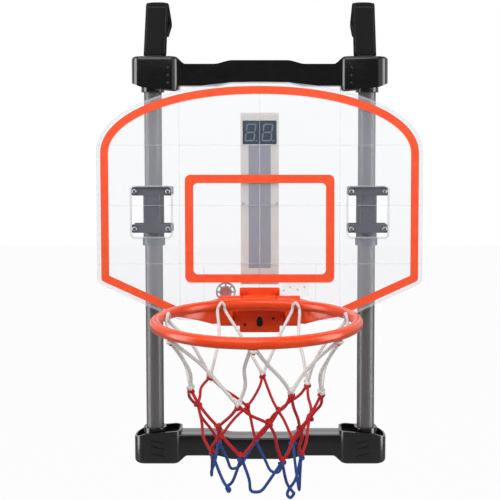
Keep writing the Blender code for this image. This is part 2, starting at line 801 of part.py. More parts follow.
def rim_skirt():
    """Brace under the rear of the ring: a curved wall that ends in two stop feet."""
    ring_y = BOARD_FRONT - RING_CENTRE
    outer = []
    inner = []
    steps = 20
    spread = math.radians(64)
    for k in range(steps + 1):
        angle = -spread + 2 * spread * k / steps
        for row, radius in ((outer, RING_RADIUS + SKIRT_WALL / 2), (inner, RING_RADIUS - SKIRT_WALL / 2)):
            row.append((radius * math.sin(angle), ring_y + radius * math.cos(angle)))
    wall = plate("skirt", "xy", outer + inner[::-1], SKIRT_BOTTOM, RING_Z)
    top = ARM_IN - 0.0005
    low = ARM_IN + 0.002
    window = [(-top, RING_Z - 0.008, 0), (top, RING_Z - 0.008, 0),
              (low, SKIRT_BOTTOM - 0.002, 0), (-low, SKIRT_BOTTOM - 0.002, 0)]
    cut(wall, plate("window", "xz", rounded(window), ring_y, BOARD_FRONT))
    return wall


def taper_cutter(side):
    """Trims the skirt's lower edge up toward its ends."""
    near = side * RING_RADIUS * 0.5
    far = side * RING_RADIUS * 1.26
    top = side * RING_RADIUS * 0.88
    outline = [(near, SKIRT_BOTTOM - 0.001, 0), (far, SKIRT_BOTTOM - 0.001, 0),
               (far, RING_Z - 0.003, 0), (top, RING_Z - 0.004, 0)]
    ring_y = BOARD_FRONT - RING_CENTRE
    return plate("taper", "xz", rounded(outline), ring_y - 0.02, BOARD_FRONT)


def stop_foot(side):
    """Side cheek from the barrel to the skirt; its rear edge rests on the bracket's wing."""
    x0, x1 = sorted((side * ARM_IN, side * (ARM_IN + 0.004)))
    middle = ARM_IN + 0.002
    skirt = RING_CENTRE - math.sqrt(RING_RADIUS**2 - middle**2)
    front = BOARD_FRONT - skirt + SKIRT_WALL / 4
    rear = BOARD_FRONT - FIT - PLATE_THICK + WING_STEP - FIT
    outline = [(front, RING_Z, 0), (BARREL_Y, RING_Z, 0), (rear, WING_TOP - 0.002, 0.001),
               (rear, WING_BOTTOM + 0.002, 0.001), (front, SKIRT_BOTTOM, 0.001)]
    return plate("foot", "yz", rounded(outline), x0, x1)


def net_pegs():
    """Small downward pegs with round heads under the ring, one for each loop of the net."""
    ring_y = BOARD_FRONT - RING_CENTRE
    pegs = []
    for k in range(NET_LOOPS):
        angle = 2 * math.pi * (k + 0.5) / NET_LOOPS
        x = RING_RADIUS * math.sin(angle)
        y = ring_y + RING_RADIUS * math.cos(angle)
        pegs.append(rod("peg", "z", (x, y, 0), PEG_RADIUS, RING_Z - PEG_LENGTH, RING_Z - RING_TUBE / 2, 10))
    return pegs


def rim():
    ring_y = BOARD_FRONT - RING_CENTRE
    bpy.ops.mesh.primitive_torus_add(major_radius=RING_RADIUS, minor_radius=RING_TUBE,
                                     major_segments=48, minor_segments=10)
    ring = bpy.context.object
    ring.data.transform(Matrix.Translation((0, ring_y, RING_Z)))
    link(ring, PARTS)
    skirt = applied_mesh(rim_skirt())
    cut(skirt, taper_cutter(-1), taper_cutter(1))
    join(ring, rim_web(), applied_mesh(skirt))
    centre = (0, BARREL_Y, RING_Z)
    join(ring, rod("barrel", "x", centre, BARREL_RADIUS, -BARREL_HALF, BARREL_HALF, 28))
    for side in (-1, 1):
        join(ring, stop_foot(side))
    join(ring, *net_pegs())
    lug = LUG_HALF + FIT
    clear = BARREL_RADIUS + 0.001
    cut(ring, box("lug_gap", (-lug, BARREL_Y - clear, RING_Z - 0.02), (lug, BARREL_Y + 0.02, RING_Z + 0.02)))
    cut(ring, rod("pin_bore", "x", centre, PIN_RADIUS + RUN, -BARREL_HALF - 0.01, BARREL_HALF + 0.01, 16))
    return finished(ring, "rim", orange_plastic(), 35, centre)


def net_radius(z):
    """The net narrows quickly under the ring, then hangs almost straight."""
    share = (NET_TOP - z) / (NET_TOP - NET_BOTTOM)
    top_radius = RING_RADIUS - PEG_RADIUS - FIT - NET_THICK / 2
    return NET_BOTTOM_RADIUS + (top_radius - NET_BOTTOM_RADIUS) * (1 - share) ** NET_FLARE


def net_part(name, top, bottom, finish):
    steps = 3
    outer = []
    inner = []
    for k in range(steps + 1):
        z = top + (bottom - top) * k / steps
        outer.append((net_radius(z) + NET_THICK / 2, z))
        inner.append((net_radius(z) - NET_THICK / 2, z))
    centre = (0, BOARD_FRONT - RING_CENTRE, 0)
    item = turned(name, "z", centre, outer + inner[::-1], 24)
    return finished(item, name, finish, origin=(0, BARREL_Y, RING_Z))


def case_span():
    front = BOARD_BACK + FIT
    return front, front + CASE_DEPTH


def score_case():
    """Tray behind the board, open to the rear, with a window for the digits."""
    front, rear = case_span()
    half = CASE_WIDTH / 2
    item = box("score_case", (-half, front, CASE_BOTTOM), (half, rear, CASE_TOP))
    wall = CASE_WALL
    low = (-half + wall, front + wall, CASE_BOTTOM + wall)
    cut(item, box("hollow", low, (half - wall, rear + 0.01, CASE_TOP - wall)))
    window = WINDOW_WIDTH / 2
    tall = WINDOW_HEIGHT / 2
    low = (-window, front - 0.01, WINDOW_CENTRE - tall)
    cut(item, box("window", low, (window, front + 0.01, WINDOW_CENTRE + tall)))
    divide = box("divider", (-half + wall / 2, front + wall / 2, DOOR_SPLIT - 0.0006),
                 (half - wall / 2, rear - 0.003, DOOR_SPLIT + 0.0006))
    join(item, divide)
    for x, z in case_screw_places():
        join(item, rod("boss", "y", (x, 0, z), 0.0026, front + wall / 2, rear - CASE_WALL - FIT, 14))
        cut(item, rod("pilot", "y", (x, 0, z), SCREW_RADIUS * 0.8 + FIT, front + 0.004, rear + 0.01, 12))
    for side in (-1, 1):
        rail = side * (CELL_RADIUS + FIT)
        left, right = sorted((rail, rail + side * 0.0014))
        low = (left, front + wall / 2, CASE_BOTTOM + 0.012)
        join(item, box("cell_rail", low, (right, CELL_Y + 0.002, DOOR_SPLIT - 0.004)))
    return finished(item, "score_case", case_plastic(), 30)


def case_screw_places():
    top = CASE_TOP - 0.005
    return [(-CASE_SCREW_X, top), (CASE_SCREW_X, top), (DOOR_SCREW_X, CASE_BOTTOM + 0.006)]


def case_cover():
    """Rear cover over the display and its board, with the switch slot."""
    rear = case_span()[1]
    half = CASE_WIDTH / 2 - CASE_WALL - FIT
    low = rear - CASE_WALL
    top = CASE_TOP - CASE_WALL - FIT
    item = box("case_cover", (-half, low, DOOR_SPLIT + FIT), (half, rear, top))
    for x, z in case_screw_places()[:2]:
        cut(item, rod("hole", "y", (x, 0, z), SCREW_RADIUS + FIT, low - 0.01, rear + 0.01, 12))
    slot = SWITCH_TRAVEL / 2 + SWITCH_KNOB + FIT
    under = (-slot, low - 0.01, SWITCH_Z - SWITCH_KNOB)
    cut(item, box("switch_slot", under, (slot, rear + 0.01, SWITCH_Z + SWITCH_KNOB)))
    return finished(item, "case_cover", case_plastic(), 30)


def power_switch():
    """Slider that shows in the slot, with a wider foot inside the cover."""
    rear = case_span()[1]
    low = rear - CASE_WALL
    knob = SWITCH_KNOB
    tall = SWITCH_KNOB - FIT
    x = -SWITCH_TRAVEL / 2
    under = (x - knob, low - 0.001, SWITCH_Z - tall)
    item = box("power_switch", under, (x + knob, rear + 0.0015, SWITCH_Z + tall))
    foot = SWITCH_TRAVEL / 2 + SWITCH_KNOB + 0.0002
    under = (x - foot, low - 0.0025, SWITCH_Z - foot * 0.8)
    join(item, box("foot", under, (x + foot, low - FIT, SWITCH_Z + foot * 0.8)))
    return finished(item, "power_switch", black_plastic(), 30, (x, low, SWITCH_Z))


def battery_door():
    """Lower rear cover. Its top edge is the hinge."""
    rear = case_span()[1]
    half = CASE_WIDTH / 2 - CASE_WALL - FIT
    low = rear - CASE_WALL
    bottom = CASE_BOTTOM + CASE_WALL + FIT
    item = box("battery_door", (-half, low, bottom), (half, rear, DOOR_SPLIT - FIT))
    x, z = case_screw_places()[2]
    cut(item, rod("hole", "y", (x, 0, z), SCREW_RADIUS + FIT, low - 0.01, rear + 0.01, 12))
    for k in range(5):
        grip = CASE_BOTTOM + 0.017 + 0.003 * k
        join(item, box("grip", (-0.008, rear - 0.0005, grip), (0.008, rear + 0.0006, grip + 0.0012)))
    return finished(item, "battery_door", case_plastic(), 30, (0, rear, DOOR_SPLIT - FIT))


def case_screws():
    rear = case_span()[1]
    tips = {"case_screw_1": 0.014, "case_screw_2": 0.014, "battery_door_screw": 0.006}
    for (name, reach), (x, z) in zip(tips.items(), case_screw_places()):
        screw(name, x, z, rear + FIT + SCREW_HEAD, rear - reach, radius=SCREW_RADIUS * 0.8)


def led_display():
    front = case_span()[0]
    half = WINDOW_WIDTH / 2 - FIT
    tall = WINDOW_HEIGHT / 2 - FIT
    low = (-half, front + FIT, WINDOW_CENTRE - tall)
    item = box("led_display", low, (half, front + DISPLAY_DEPTH, WINDOW_CENTRE + tall))
    return finished(item, "led_display", material("display_grey", "4a5563", 0.25), 30)


def display_board():
    start = case_span()[0] + DISPLAY_DEPTH + FIT
    half = CASE_WIDTH / 2 - CASE_WALL - FIT
    top = CASE_TOP - CASE_WALL - 0.0085
    item = box("display_board", (-half, start, DOOR_SPLIT + 0.004), (half, start + 0.0016, top))
    chip = (-0.006, start + 0.001, WINDOW_CENTRE + 0.003)
    join(item, box("chip", chip, (0.006, start + 0.004, WINDOW_CENTRE + 0.012)))
    return finished(item, "display_board", circuit_green(), 30)


def battery_cell(index):
    """Cells in one row, positive ends up."""
    low = CASE_BOTTOM + SPRING_ROOM
    base = low + index * (CELL_LENGTH + FIT)
    top = base + CELL_LENGTH
    shoulder = top - 0.0012
    profile = [(0, top), (CELL_PIP, top), (CELL_PIP, shoulder)]
    profile += [(CELL_RADIUS, shoulder), (CELL_RADIUS, base), (0, base)]
    item = turned("cell", "z", (0, CELL_Y, 0), profile, 24)
    return finished(item, f"battery_cell_{index + 1}", material("cell_sleeve", "3a6f4a", 0.35))


def battery_spring():
    """Conical contact spring at the lower end of the row."""
    turns = 3.5
    steps = 30
    curve = bpy.data.curves.new("battery_spring", "CURVE")
    curve.dimensions = "3D"
    curve.bevel_depth = 0.0004
    curve.bevel_resolution = 1
    curve.use_fill_caps = True
    spline = curve.splines.new("POLY")
    spline.points.add(steps)
    bottom = CASE_BOTTOM + CASE_WALL + FIT + 0.0004
    top = CASE_BOTTOM + SPRING_ROOM - FIT - 0.0004
    for k, point in enumerate(spline.points):
        share = k / steps
        angle = 2 * math.pi * turns * share
        radius = 0.0052 - 0.0022 * share
        x = radius * math.cos(angle)
        y = CELL_Y + radius * math.sin(angle)
        point.co = (x, y, bottom + (top - bottom) * share, 1)
    item = bpy.data.objects.new("battery_spring", curve)
    PARTS.objects.link(item)
    bpy.context.view_layer.update()
    return finished(item, "battery_spring", bright_steel())


def battery_contact():
    """Flat upper contact against the divider."""
    top = DOOR_SPLIT - 0.0006 - FIT
    cells = CASE_BOTTOM + SPRING_ROOM + CELL_COUNT * (CELL_LENGTH + FIT)
    item = box("battery_contact", (-0.006, CELL_Y - 0.005, cells), (0.006, CELL_Y + 0.005, cells + 0.0006))
    join(item, box("tail", (-0.003, CELL_Y - 0.005, cells), (0.003, CELL_Y - 0.0044, top)))
    return finished(item, "battery_contact", bright_steel(), 30)


def speaker():
    """Small cone speaker that sits behind the slots."""
    front = BOARD_BACK + FIT
    depth = SPEAKER_DEPTH
    profile = [
        (0, -front - 0.001),
        (SPEAKER_RADIUS * 0.8, -front - 0.001),
        (SPEAKER_RADIUS * 0.8, -front),
        (SPEAKER_RADIUS, -front),
        (SPEAKER_RADIUS, -front - depth * 0.45),
        (SPEAKER_RADIUS * 0.62, -front - depth * 0.55),
        (SPEAKER_RADIUS * 0.62, -front - depth),
        (0, -front - depth),
    ]
    item = turned("speaker", "z", (0, 0, 0), profile, 20)
    item.data.transform(Matrix.Translation((SPEAKER_X, 0, SPEAKER_Z)) @ Matrix.Rotation(math.pi / 2, 4, "X"))
    return finished(item, "speaker", material("speaker_grey", "8c8186", 0.5))


def speaker_retainer():
    """Screwless clip ring that holds the speaker against the board."""
    front = BOARD_BACK + FIT
    inner = SPEAKER_RADIUS + FIT
    outer = inner + 0.0014
    lip = SPEAKER_RADIUS * 0.75
    depth = SPEAKER_DEPTH * 0.55 + FIT
    profile = [
        (outer, -front),
        (outer, -front - depth - 0.001),
        (lip, -front - depth - 0.001),
        (lip, -front - depth),
        (inner, -front - depth),
        (inner, -front),
    ]
    item = turned("speaker_retainer", "z", (0, 0, 0), profile, 20)
    item.data.transform(Matrix.Translation((SPEAKER_X, 0, SPEAKER_Z)) @ Matrix.Rotation(math.pi / 2, 4, "X"))
    return finished(item, "speaker_retainer", clear_plastic())


def sensor_board():
    """Small circuit board that counts the baskets, flat against the board's back."""
    front = BOARD_BACK + FIT
    half = SENSOR_WIDTH / 2
    tall = SENSOR_HEIGHT / 2
    low = (SENSOR_X - half, front, SENSOR_Z - tall)
    item = box("sensor_board", low, (SENSOR_X + half, front + 0.0014, SENSOR_Z + tall))
    parts = ((-0.010, 0.003, 0.003), (0.009, 0.003, 0.0025), (0.001, -0.003, 0.004))
    for dx, dz, size in parts:
        low = (SENSOR_X + dx - size, front + 0.001, SENSOR_Z + dz - size / 2)
        high = (SENSOR_X + dx + size, front + 0.0014 + size, SENSOR_Z + dz + size / 2)
        join(item, box("chip", low, high))
    return finished(item, "sensor_board", circuit_green(), 30)


def build():
    for flip, word in ((False, "top"), (True, "bottom")):
        bar_half(f"{word}_bar_front", flip, False)
        bar_half(f"{word}_bar_rear", flip, True)
        bar_screws(f"{word}_bar_screws", flip)
    backboard()
    for side, word in ((-1, "left"), (1, "right")):
        tube(f"tube_{word}", side)
        door_hook(f"door_hook_{word}", side)
        hook_pad(f"hook_pad_{word}", side)
        hook_pin(f"hook_pin_{word}", side)
        clamp_half(f"clamp_front_{word}", side, False)
        clamp_half(f"clamp_rear_{word}", side, True)
        clamp_screws(f"clamp_screws_{word}", side)
    hoop_bracket()
    bracket_screws()
    hinge_pin()
    rim()
    net_part("net_white", NET_TOP, NET_WHITE_END, material("white_cord", "e6e2de", 0.9))
    net_part("net_red", NET_WHITE_END - FIT, NET_RED_END, material("red_cord", "cf2c2c", 0.9))
    net_part("net_blue", NET_RED_END - FIT, NET_BOTTOM, material("blue_cord", "34508f", 0.9))
    score_case()
    case_cover()
    battery_door()
    case_screws()
    power_switch()
    led_display()
    display_board()
    for index in range(CELL_COUNT):
        battery_cell(index)
    battery_spring()
    battery_contact()
    speaker()
    speaker_retainer()
    sensor_board()


clear_scene()
PARTS = new_collection("basketball_hoop_machine")
CUTTERS = new_collection("cutters")
build()
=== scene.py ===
import json
import math
import random

import bmesh
import bpy
from mathutils import Matrix, Quaternion, Vector

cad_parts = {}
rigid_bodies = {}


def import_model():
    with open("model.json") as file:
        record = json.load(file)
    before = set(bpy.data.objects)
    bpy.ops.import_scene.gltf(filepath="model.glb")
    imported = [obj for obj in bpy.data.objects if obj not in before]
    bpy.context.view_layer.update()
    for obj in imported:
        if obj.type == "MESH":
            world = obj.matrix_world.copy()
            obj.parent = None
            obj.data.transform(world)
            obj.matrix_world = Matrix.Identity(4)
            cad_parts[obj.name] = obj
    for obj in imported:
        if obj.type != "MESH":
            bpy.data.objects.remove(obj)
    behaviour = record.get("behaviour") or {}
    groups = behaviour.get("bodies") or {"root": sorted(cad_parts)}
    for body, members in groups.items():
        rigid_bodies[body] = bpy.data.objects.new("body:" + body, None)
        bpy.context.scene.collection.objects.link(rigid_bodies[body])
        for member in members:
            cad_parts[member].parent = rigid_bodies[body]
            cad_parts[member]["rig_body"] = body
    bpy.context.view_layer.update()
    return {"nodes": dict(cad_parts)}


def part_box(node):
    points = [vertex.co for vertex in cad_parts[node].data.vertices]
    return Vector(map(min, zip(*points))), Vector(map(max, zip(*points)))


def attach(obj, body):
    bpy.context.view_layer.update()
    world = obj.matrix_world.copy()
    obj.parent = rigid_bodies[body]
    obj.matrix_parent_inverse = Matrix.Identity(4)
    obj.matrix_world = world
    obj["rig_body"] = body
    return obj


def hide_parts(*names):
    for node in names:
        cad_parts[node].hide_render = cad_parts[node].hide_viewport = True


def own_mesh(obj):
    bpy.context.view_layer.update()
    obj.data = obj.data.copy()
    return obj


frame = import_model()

print("frame loaded:", len(frame["nodes"]), "nodes")

boardLow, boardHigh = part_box("backboard")
rimLow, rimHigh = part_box("rim")
barLow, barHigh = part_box("top_bar_front")
lowerLow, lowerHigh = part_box("bottom_bar_front")
tubeLow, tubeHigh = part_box("tube_right")
tubeX = (tubeLow.x + tubeHigh.x) / 2
tubeY = (tubeLow.y + tubeHigh.y) / 2
pinLow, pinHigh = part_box("hinge_pin")
barrelY = (pinLow.y + pinHigh.y) / 2
ringZ = (pinLow.z + pinHigh.z) / 2
boardFront = boardLow.y
boardBack = boardHigh.y


def clearSelection():
    if bpy.context.object and bpy.context.object.mode != "OBJECT":
        bpy.ops.object.mode_set(mode="OBJECT")
    bpy.ops.object.select_all(action="DESELECT")


def pick(piece):
    clearSelection()
    piece.select_set(True)
    bpy.context.view_layer.objects.active = piece


def editAll(piece):
    pick(piece)
    bpy.ops.object.mode_set(mode="EDIT")
    bpy.ops.mesh.select_all(action="SELECT")


def linkNew(name, data):
    made = bpy.data.objects.new(name, data)
    bpy.context.scene.collection.objects.link(made)
    return made


def linkMesh(name, shape):
    mesh = bpy.data.meshes.new(name)
    shape.to_mesh(mesh)
    shape.free()
    return linkNew(name, mesh)


def settle(piece):
    pick(piece)
    bpy.ops.object.transform_apply(location=True, rotation=True, scale=True)
    return piece


def applyModifier(piece, kind, **settings):
    pick(piece)
    modifier = piece.modifiers.new(kind.lower(), kind)
    for key, value in settings.items():
        setattr(modifier, key, value)
    bpy.ops.object.modifier_apply(modifier=modifier.name)
    return piece


def roundEdges(piece, width, steps=3, angle=35):
    if not width:
        return piece
    return applyModifier(piece, "BEVEL", width=width, segments=steps, limit_method="ANGLE",
                         angle_limit=math.radians(angle))


def addBlock(name, low, high, edge=0.0, steps=3):
    clearSelection()
    size = [b - a for a, b in zip(low, high)]
    middle = [(a + b) / 2 for a, b in zip(low, high)]
    bpy.ops.mesh.primitive_cube_add(size=1, location=middle, scale=size)
    piece = settle(bpy.context.object)
    piece.name = name
    return roundEdges(piece, edge, steps)


def addRod(name, start, end, radius, sides=48, edge=0.0, steps=2):
    clearSelection()
    along = Vector(end) - Vector(start)
    turn = along.to_track_quat("Z", "Y").to_euler()
    middle = (Vector(start) + Vector(end)) / 2
    bpy.ops.mesh.primitive_cylinder_add(vertices=sides, radius=radius, depth=along.length,
                                        location=middle, rotation=turn)
    piece = settle(bpy.context.object)
    piece.name = name
    return roundEdges(piece, edge, steps)


def placeOn(axis, u, v, depth):
    return {"x": (depth, u, v), "y": (u, depth, v), "z": (u, v, depth)}[axis]


def addOutline(axis, outline, depth, fill):
    clearSelection()
    bpy.ops.mesh.primitive_circle_add(vertices=len(outline), radius=1, fill_type=fill)
    piece = bpy.context.object
    for vertex, (u, v) in zip(piece.data.vertices, outline):
        vertex.co = placeOn(axis, u, v, depth)
    return piece


def thicken(piece, axis, depth):
    editAll(piece)
    bpy.ops.mesh.extrude_region_move(TRANSFORM_OT_translate={"value": placeOn(axis, 0, 0, depth)})
    bpy.ops.mesh.select_all(action="SELECT")
    bpy.ops.mesh.normals_make_consistent(inside=False)
    bpy.ops.object.mode_set(mode="OBJECT")
    return piece


def addPlate(name, axis, outline, near, far, edge=0.0, steps=2):
    piece = thicken(addOutline(axis, outline, near, "NGON"), axis, far - near)
    piece.name = name
    return roundEdges(piece, edge, steps)


def chooseFaces(piece, test):
    # leaves the piece in edit mode with only the wanted faces selected
    pick(piece)
    bpy.ops.object.mode_set(mode="EDIT")
    bpy.ops.mesh.select_mode(type="FACE")
    bpy.ops.mesh.select_all(action="DESELECT")
    bpy.ops.object.mode_set(mode="OBJECT")
    for polygon in piece.data.polygons:
        polygon.select = bool(test(polygon))
    bpy.ops.object.mode_set(mode="EDIT")


def joinAs(name, parts):
    clearSelection()
    for part in parts:
        part.select_set(True)
    bpy.context.view_layer.objects.active = parts[0]
    bpy.ops.object.join()
    piece = bpy.context.object
    piece.name = name
    return piece


def addBand(name, axis, outer, inner, near, far, edge=0.0, steps=2):
    piece = joinAs(name, [addOutline(axis, line, near, "NOTHING") for line in (outer, inner)])
    editAll(piece)
    bpy.ops.mesh.bridge_edge_loops()
    bpy.ops.object.mode_set(mode="OBJECT")
    thicken(piece, axis, far - near)
    return roundEdges(piece, edge, steps)


def carve(piece, *tools):
    for tool in tools:
        applyModifier(piece, "BOOLEAN", operation="DIFFERENCE", solver="EXACT", object=tool)
        bpy.data.objects.remove(tool, do_unlink=True)
    return piece


def copyTo(piece, name, matrix):
    made = linkNew(name, piece.data.copy())
    made.data.transform(matrix)
    if matrix.determinant() < 0:
        made.data.flip_normals()
    return made


def finishPiece(piece, name, body, material, replaced=(), angle=35):
    settle(piece)
    piece.name = name
    piece.data.name = name
    piece.data.materials.clear()
    piece.data.materials.append(material)
    if angle:
        bpy.ops.object.shade_smooth_by_angle(angle=math.radians(angle))
    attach(piece, body)
    if replaced:
        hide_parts(*replaced)
    return piece


def dress(node, material):
    shown = frame["nodes"][node]
    if not shown.material_slots:
        shown.data.materials.append(material)
    for slot in shown.material_slots:
        slot.material = material


def roundCorners(corners, steps=6):
    outline = []
    for i, (u, v, radius) in enumerate(corners):
        here = Vector((u, v))
        before = (Vector(corners[i - 1][:2]) - here).normalized()
        after = (Vector(corners[(i + 1) % len(corners)][:2]) - here).normalized()
        if radius <= 0:
            outline.append((u, v))
            continue
        half = before.angle(after) / 2
        centre = here + (before + after).normalized() * radius / math.sin(half)
        first = here + before * radius / math.tan(half) - centre
        last = here + after * radius / math.tan(half) - centre
        sweep = first.angle_signed(last)
        for k in range(steps + 1):
            spoke = Matrix.Rotation(-sweep * k / steps, 2) @ first
            outline.append((centre.x + spoke.x, centre.y + spoke.y))
    return outline


def roundRect(left, right, bottom, top, radius, steps=6):
    return roundCorners([(left, bottom, radius), (right, bottom, radius),
                         (right, top, radius), (left, top, radius)], steps)


def circleOutline(x, z, radius, steps=48):
    turn = 2 * math.pi / steps
    return [(x + radius * math.cos(k * turn), z + radius * math.sin(k * turn)) for k in range(steps)]


def insetOutline(outline, distance):
    count = len(outline)
    area = sum(outline[i - 1][0] * outline[i][1] - outline[i][0] * outline[i - 1][1] for i in range(count))
    way = 1 if area > 0 else -1
    moved = []
    for i in range(count):
        here = Vector(outline[i])
        a = (here - Vector(outline[i - 1])).normalized()
        b = (Vector(outline[(i + 1) % count]) - here).normalized()
        normal = (Vector((-a.y, a.x)) + Vector((-b.y, b.x))).normalized()
        reach = distance / max(0.4, normal.dot(Vector((-a.y, a.x))))
        moved.append(tuple(here + normal * way * reach))
    return moved


def colour(text):
    values = [int(text[i:i + 2], 16) / 255 for i in (0, 2, 4)]
    return (*[v / 12.92 if v < 0.04045 else ((v + 0.055) / 1.055) ** 2.4 for v in values], 1)


def startMaterial(name, text, roughness, **sockets):
    made = bpy.data.materials.new(name)
    made.use_nodes = True
    shader = made.node_tree.nodes["Principled BSDF"]
    shader.inputs["Base Color"].default_value = colour(text)
    shader.inputs["Roughness"].default_value = roughness
    for key, value in sockets.items():
        shader.inputs[key.replace("_", " ")].default_value = value
    return made, shader


def addNode(made, kind, inputs=None, **settings):
    # a socket given as an input is linked, anything else is set
    node = made.node_tree.nodes.new(kind)
    for key, value in settings.items():
        setattr(node, key, value)
    for key, value in (inputs or {}).items():
        if isinstance(value, bpy.types.NodeSocket):
            made.node_tree.links.new(value, node.inputs[key])
        else:
            node.inputs[key].default_value = value
    return node


def cloudPattern(made, size, detail=3.0, stretch=(1, 1, 1)):
    # soft random patches of a real size in metres, fixed to the piece
    place = addNode(made, "ShaderNodeTexCoord").outputs["Object"]
    mapped = addNode(made, "ShaderNodeMapping", {"Vector": place, "Scale": stretch}).outputs[0]
    return addNode(made, "ShaderNodeTexNoise", {"Vector": mapped, "Scale": 1 / size, "Detail": detail}).outputs["Fac"]


def wavePattern(made, axis, turns):
    # even waves along one direction of the piece's own cord map
    place = addNode(made, "ShaderNodeUVMap", uv_map="cord").outputs[0]
    along = addNode(made, "ShaderNodeSeparateXYZ", {0: place}).outputs[axis]
    return addNode(made, "ShaderNodeMath", {0: along, 1: 2 * math.pi * turns}, operation="MULTIPLY").outputs[0]


def addSurface(made, shader, shades=None, shadePattern=None, gloss=None, glossPattern=None, relief=None, under=None):
    # two shades and two gloss levels, each spread by its own patches, with a fine relief over them
    links = made.node_tree.links
    if shades:
        share = addNode(made, "ShaderNodeMapRange", {"Value": shadePattern, "From Min": 0.3, "From Max": 0.7})
        mixed = addNode(made, "ShaderNodeMix", {0: share.outputs[0], 6: colour(shades[0]), 7: colour(shades[1])},
                        data_type="RGBA")
        links.new(mixed.outputs[2], shader.inputs["Base Color"])
    if gloss:
        level = addNode(made, "ShaderNodeMapRange", {"Value": glossPattern, "From Min": 0.3, "From Max": 0.7,
                                                     "To Min": gloss[0], "To Max": gloss[1]})
        links.new(level.outputs[0], shader.inputs["Roughness"])
    if relief:
        height, depth, strength = relief
        bump = addNode(made, "ShaderNodeBump", {"Height": height, "Distance": depth, "Strength": strength})
        if under:
            links.new(under, bump.inputs["Normal"])
        links.new(bump.outputs[0], shader.inputs["Normal"])


def glossBlackAbs():
    # moulded gloss ABS: even black, soft flow marks 14 mm long, a faint 1.2 mm orange peel
    made, shader = startMaterial("glossBlackAbs", "0f0f10", 0.17)
    addSurface(made, shader, ("0b0b0c", "121113"), cloudPattern(made, 0.014, 2, (1, 1, 2.5)),
               (0.14, 0.19), cloudPattern(made, 0.012), (cloudPattern(made, 0.0012, 1), 0.000004, 0.12))
    return made


def orangeAbs():
    # moulded semi-gloss ABS: warm orange with slow colour drift over 30 mm and a 1.2 mm peel
    made, shader = startMaterial("orangeAbs", "e8400f", 0.3, Specular_IOR_Level=0.35)
    addSurface(made, shader, ("e33e08", "ee480c"), cloudPattern(made, 0.03, 2),
               (0.2, 0.27), cloudPattern(made, 0.008), (cloudPattern(made, 0.0012, 1), 0.000004, 0.1))
    return made


def clearSheet(name, face, edge, tone):
    # injection moulded clear sheet: thin faces let light through, its edges gather it and look frosted
    made, shader = startMaterial(name, tone, 0.07, Specular_IOR_Level=0.6)
    facing = addNode(made, "ShaderNodeSeparateXYZ", {0: addNode(made, "ShaderNodeTexCoord").outputs["Normal"]})
    level = addNode(made, "ShaderNodeMath", {0: facing.outputs["Y"]}, operation="ABSOLUTE").outputs[0]
    alpha = addNode(made, "ShaderNodeMapRange", {"Value": level, "From Min": 0.2, "From Max": 0.9,
                                                 "To Min": edge, "To Max": face})
    made.node_tree.links.new(alpha.outputs[0], shader.inputs["Alpha"])
    addSurface(made, shader, gloss=(0.12, 0.2), glossPattern=cloudPattern(made, 0.02, 4),
               relief=(cloudPattern(made, 0.035, 1), 0.0001, 0.12))
    return made


def screenInk(name, first, second):
    # opaque screen printed ink, with the 0.35 mm mesh just showing
    made, shader = startMaterial(name, first, 0.45, Specular_IOR_Level=0.3)
    addSurface(made, shader, (first, second), cloudPattern(made, 0.012, 4),
               (0.33, 0.48), cloudPattern(made, 0.004), (cloudPattern(made, 0.00035, 1), 0.00001, 0.5))
    return made


def lacqueredSteel():
    # blacked and lacquered spring steel strip: fine rolling lines run down it, under a satin clear coat
    made, shader = startMaterial("blackedSpringSteel", "2a2a2c", 0.42, Metallic=1.0)
    lines = cloudPattern(made, 0.0004, 3, (1, 1, 0.003))
    addSurface(made, shader, ("2a2a2c", "38383a"), lines, (0.36, 0.52), lines, (lines, 0.00001, 0.06))
    return made


def greyPaint():
    # satin grey stove paint on steel tube: faint drawing lines 0.6 mm apart run along it below the paint
    made, shader = startMaterial("greyStovePaint", "5a5757", 0.36)
    lines = cloudPattern(made, 0.0006, 3, (1, 1, 0.003))
    addSurface(made, shader, ("565353", "5d5a5a"), lines,
               (0.32, 0.42), cloudPattern(made, 0.01), (lines, 0.000005, 0.05))
    return made


def zincSteel():
    # zinc plated steel: bright, with 3 mm blotches of plating
    made, shader = startMaterial("zincSteel", "b4b6ba", 0.3, Metallic=1.0)
    patch = cloudPattern(made, 0.003, 4)
    addSurface(made, shader, ("a6a8ad", "c2c4c6"), patch, (0.2, 0.36), patch)
    return made


def greyAbs():
    # satin moulded ABS with a cool violet cast and spark-eroded 0.5 mm texture
    made, shader = startMaterial("greyAbs", "4b4d59", 0.42)
    addSurface(made, shader, ("474955", "50525e"), cloudPattern(made, 0.01),
               (0.36, 0.5), cloudPattern(made, 0.003), (cloudPattern(made, 0.0005), 0.00003, 0.7))
    return made


def milkyAbs(name, first, second, alpha):
    # thin translucent ABS: milky, a little light comes through its 1.6 mm walls
    made, shader = startMaterial(name, first, 0.38, Alpha=alpha, Subsurface_Weight=0.1, Subsurface_Scale=0.002)
    addSurface(made, shader, (first, second), cloudPattern(made, 0.016),
               (0.32, 0.46), cloudPattern(made, 0.004), (cloudPattern(made, 0.0008), 0.00002, 0.5))
    return made


def plainResin(name, first, second, roughness, size=0.004):
    # cast or laminated resin with faint mottling
    made, shader = startMaterial(name, first, roughness)
    patch = cloudPattern(made, size, 4)
    addSurface(made, shader, (first, second), patch, (roughness - 0.05, roughness + 0.08), patch,
               (cloudPattern(made, 0.0006), 0.00002, 0.4))
    return made


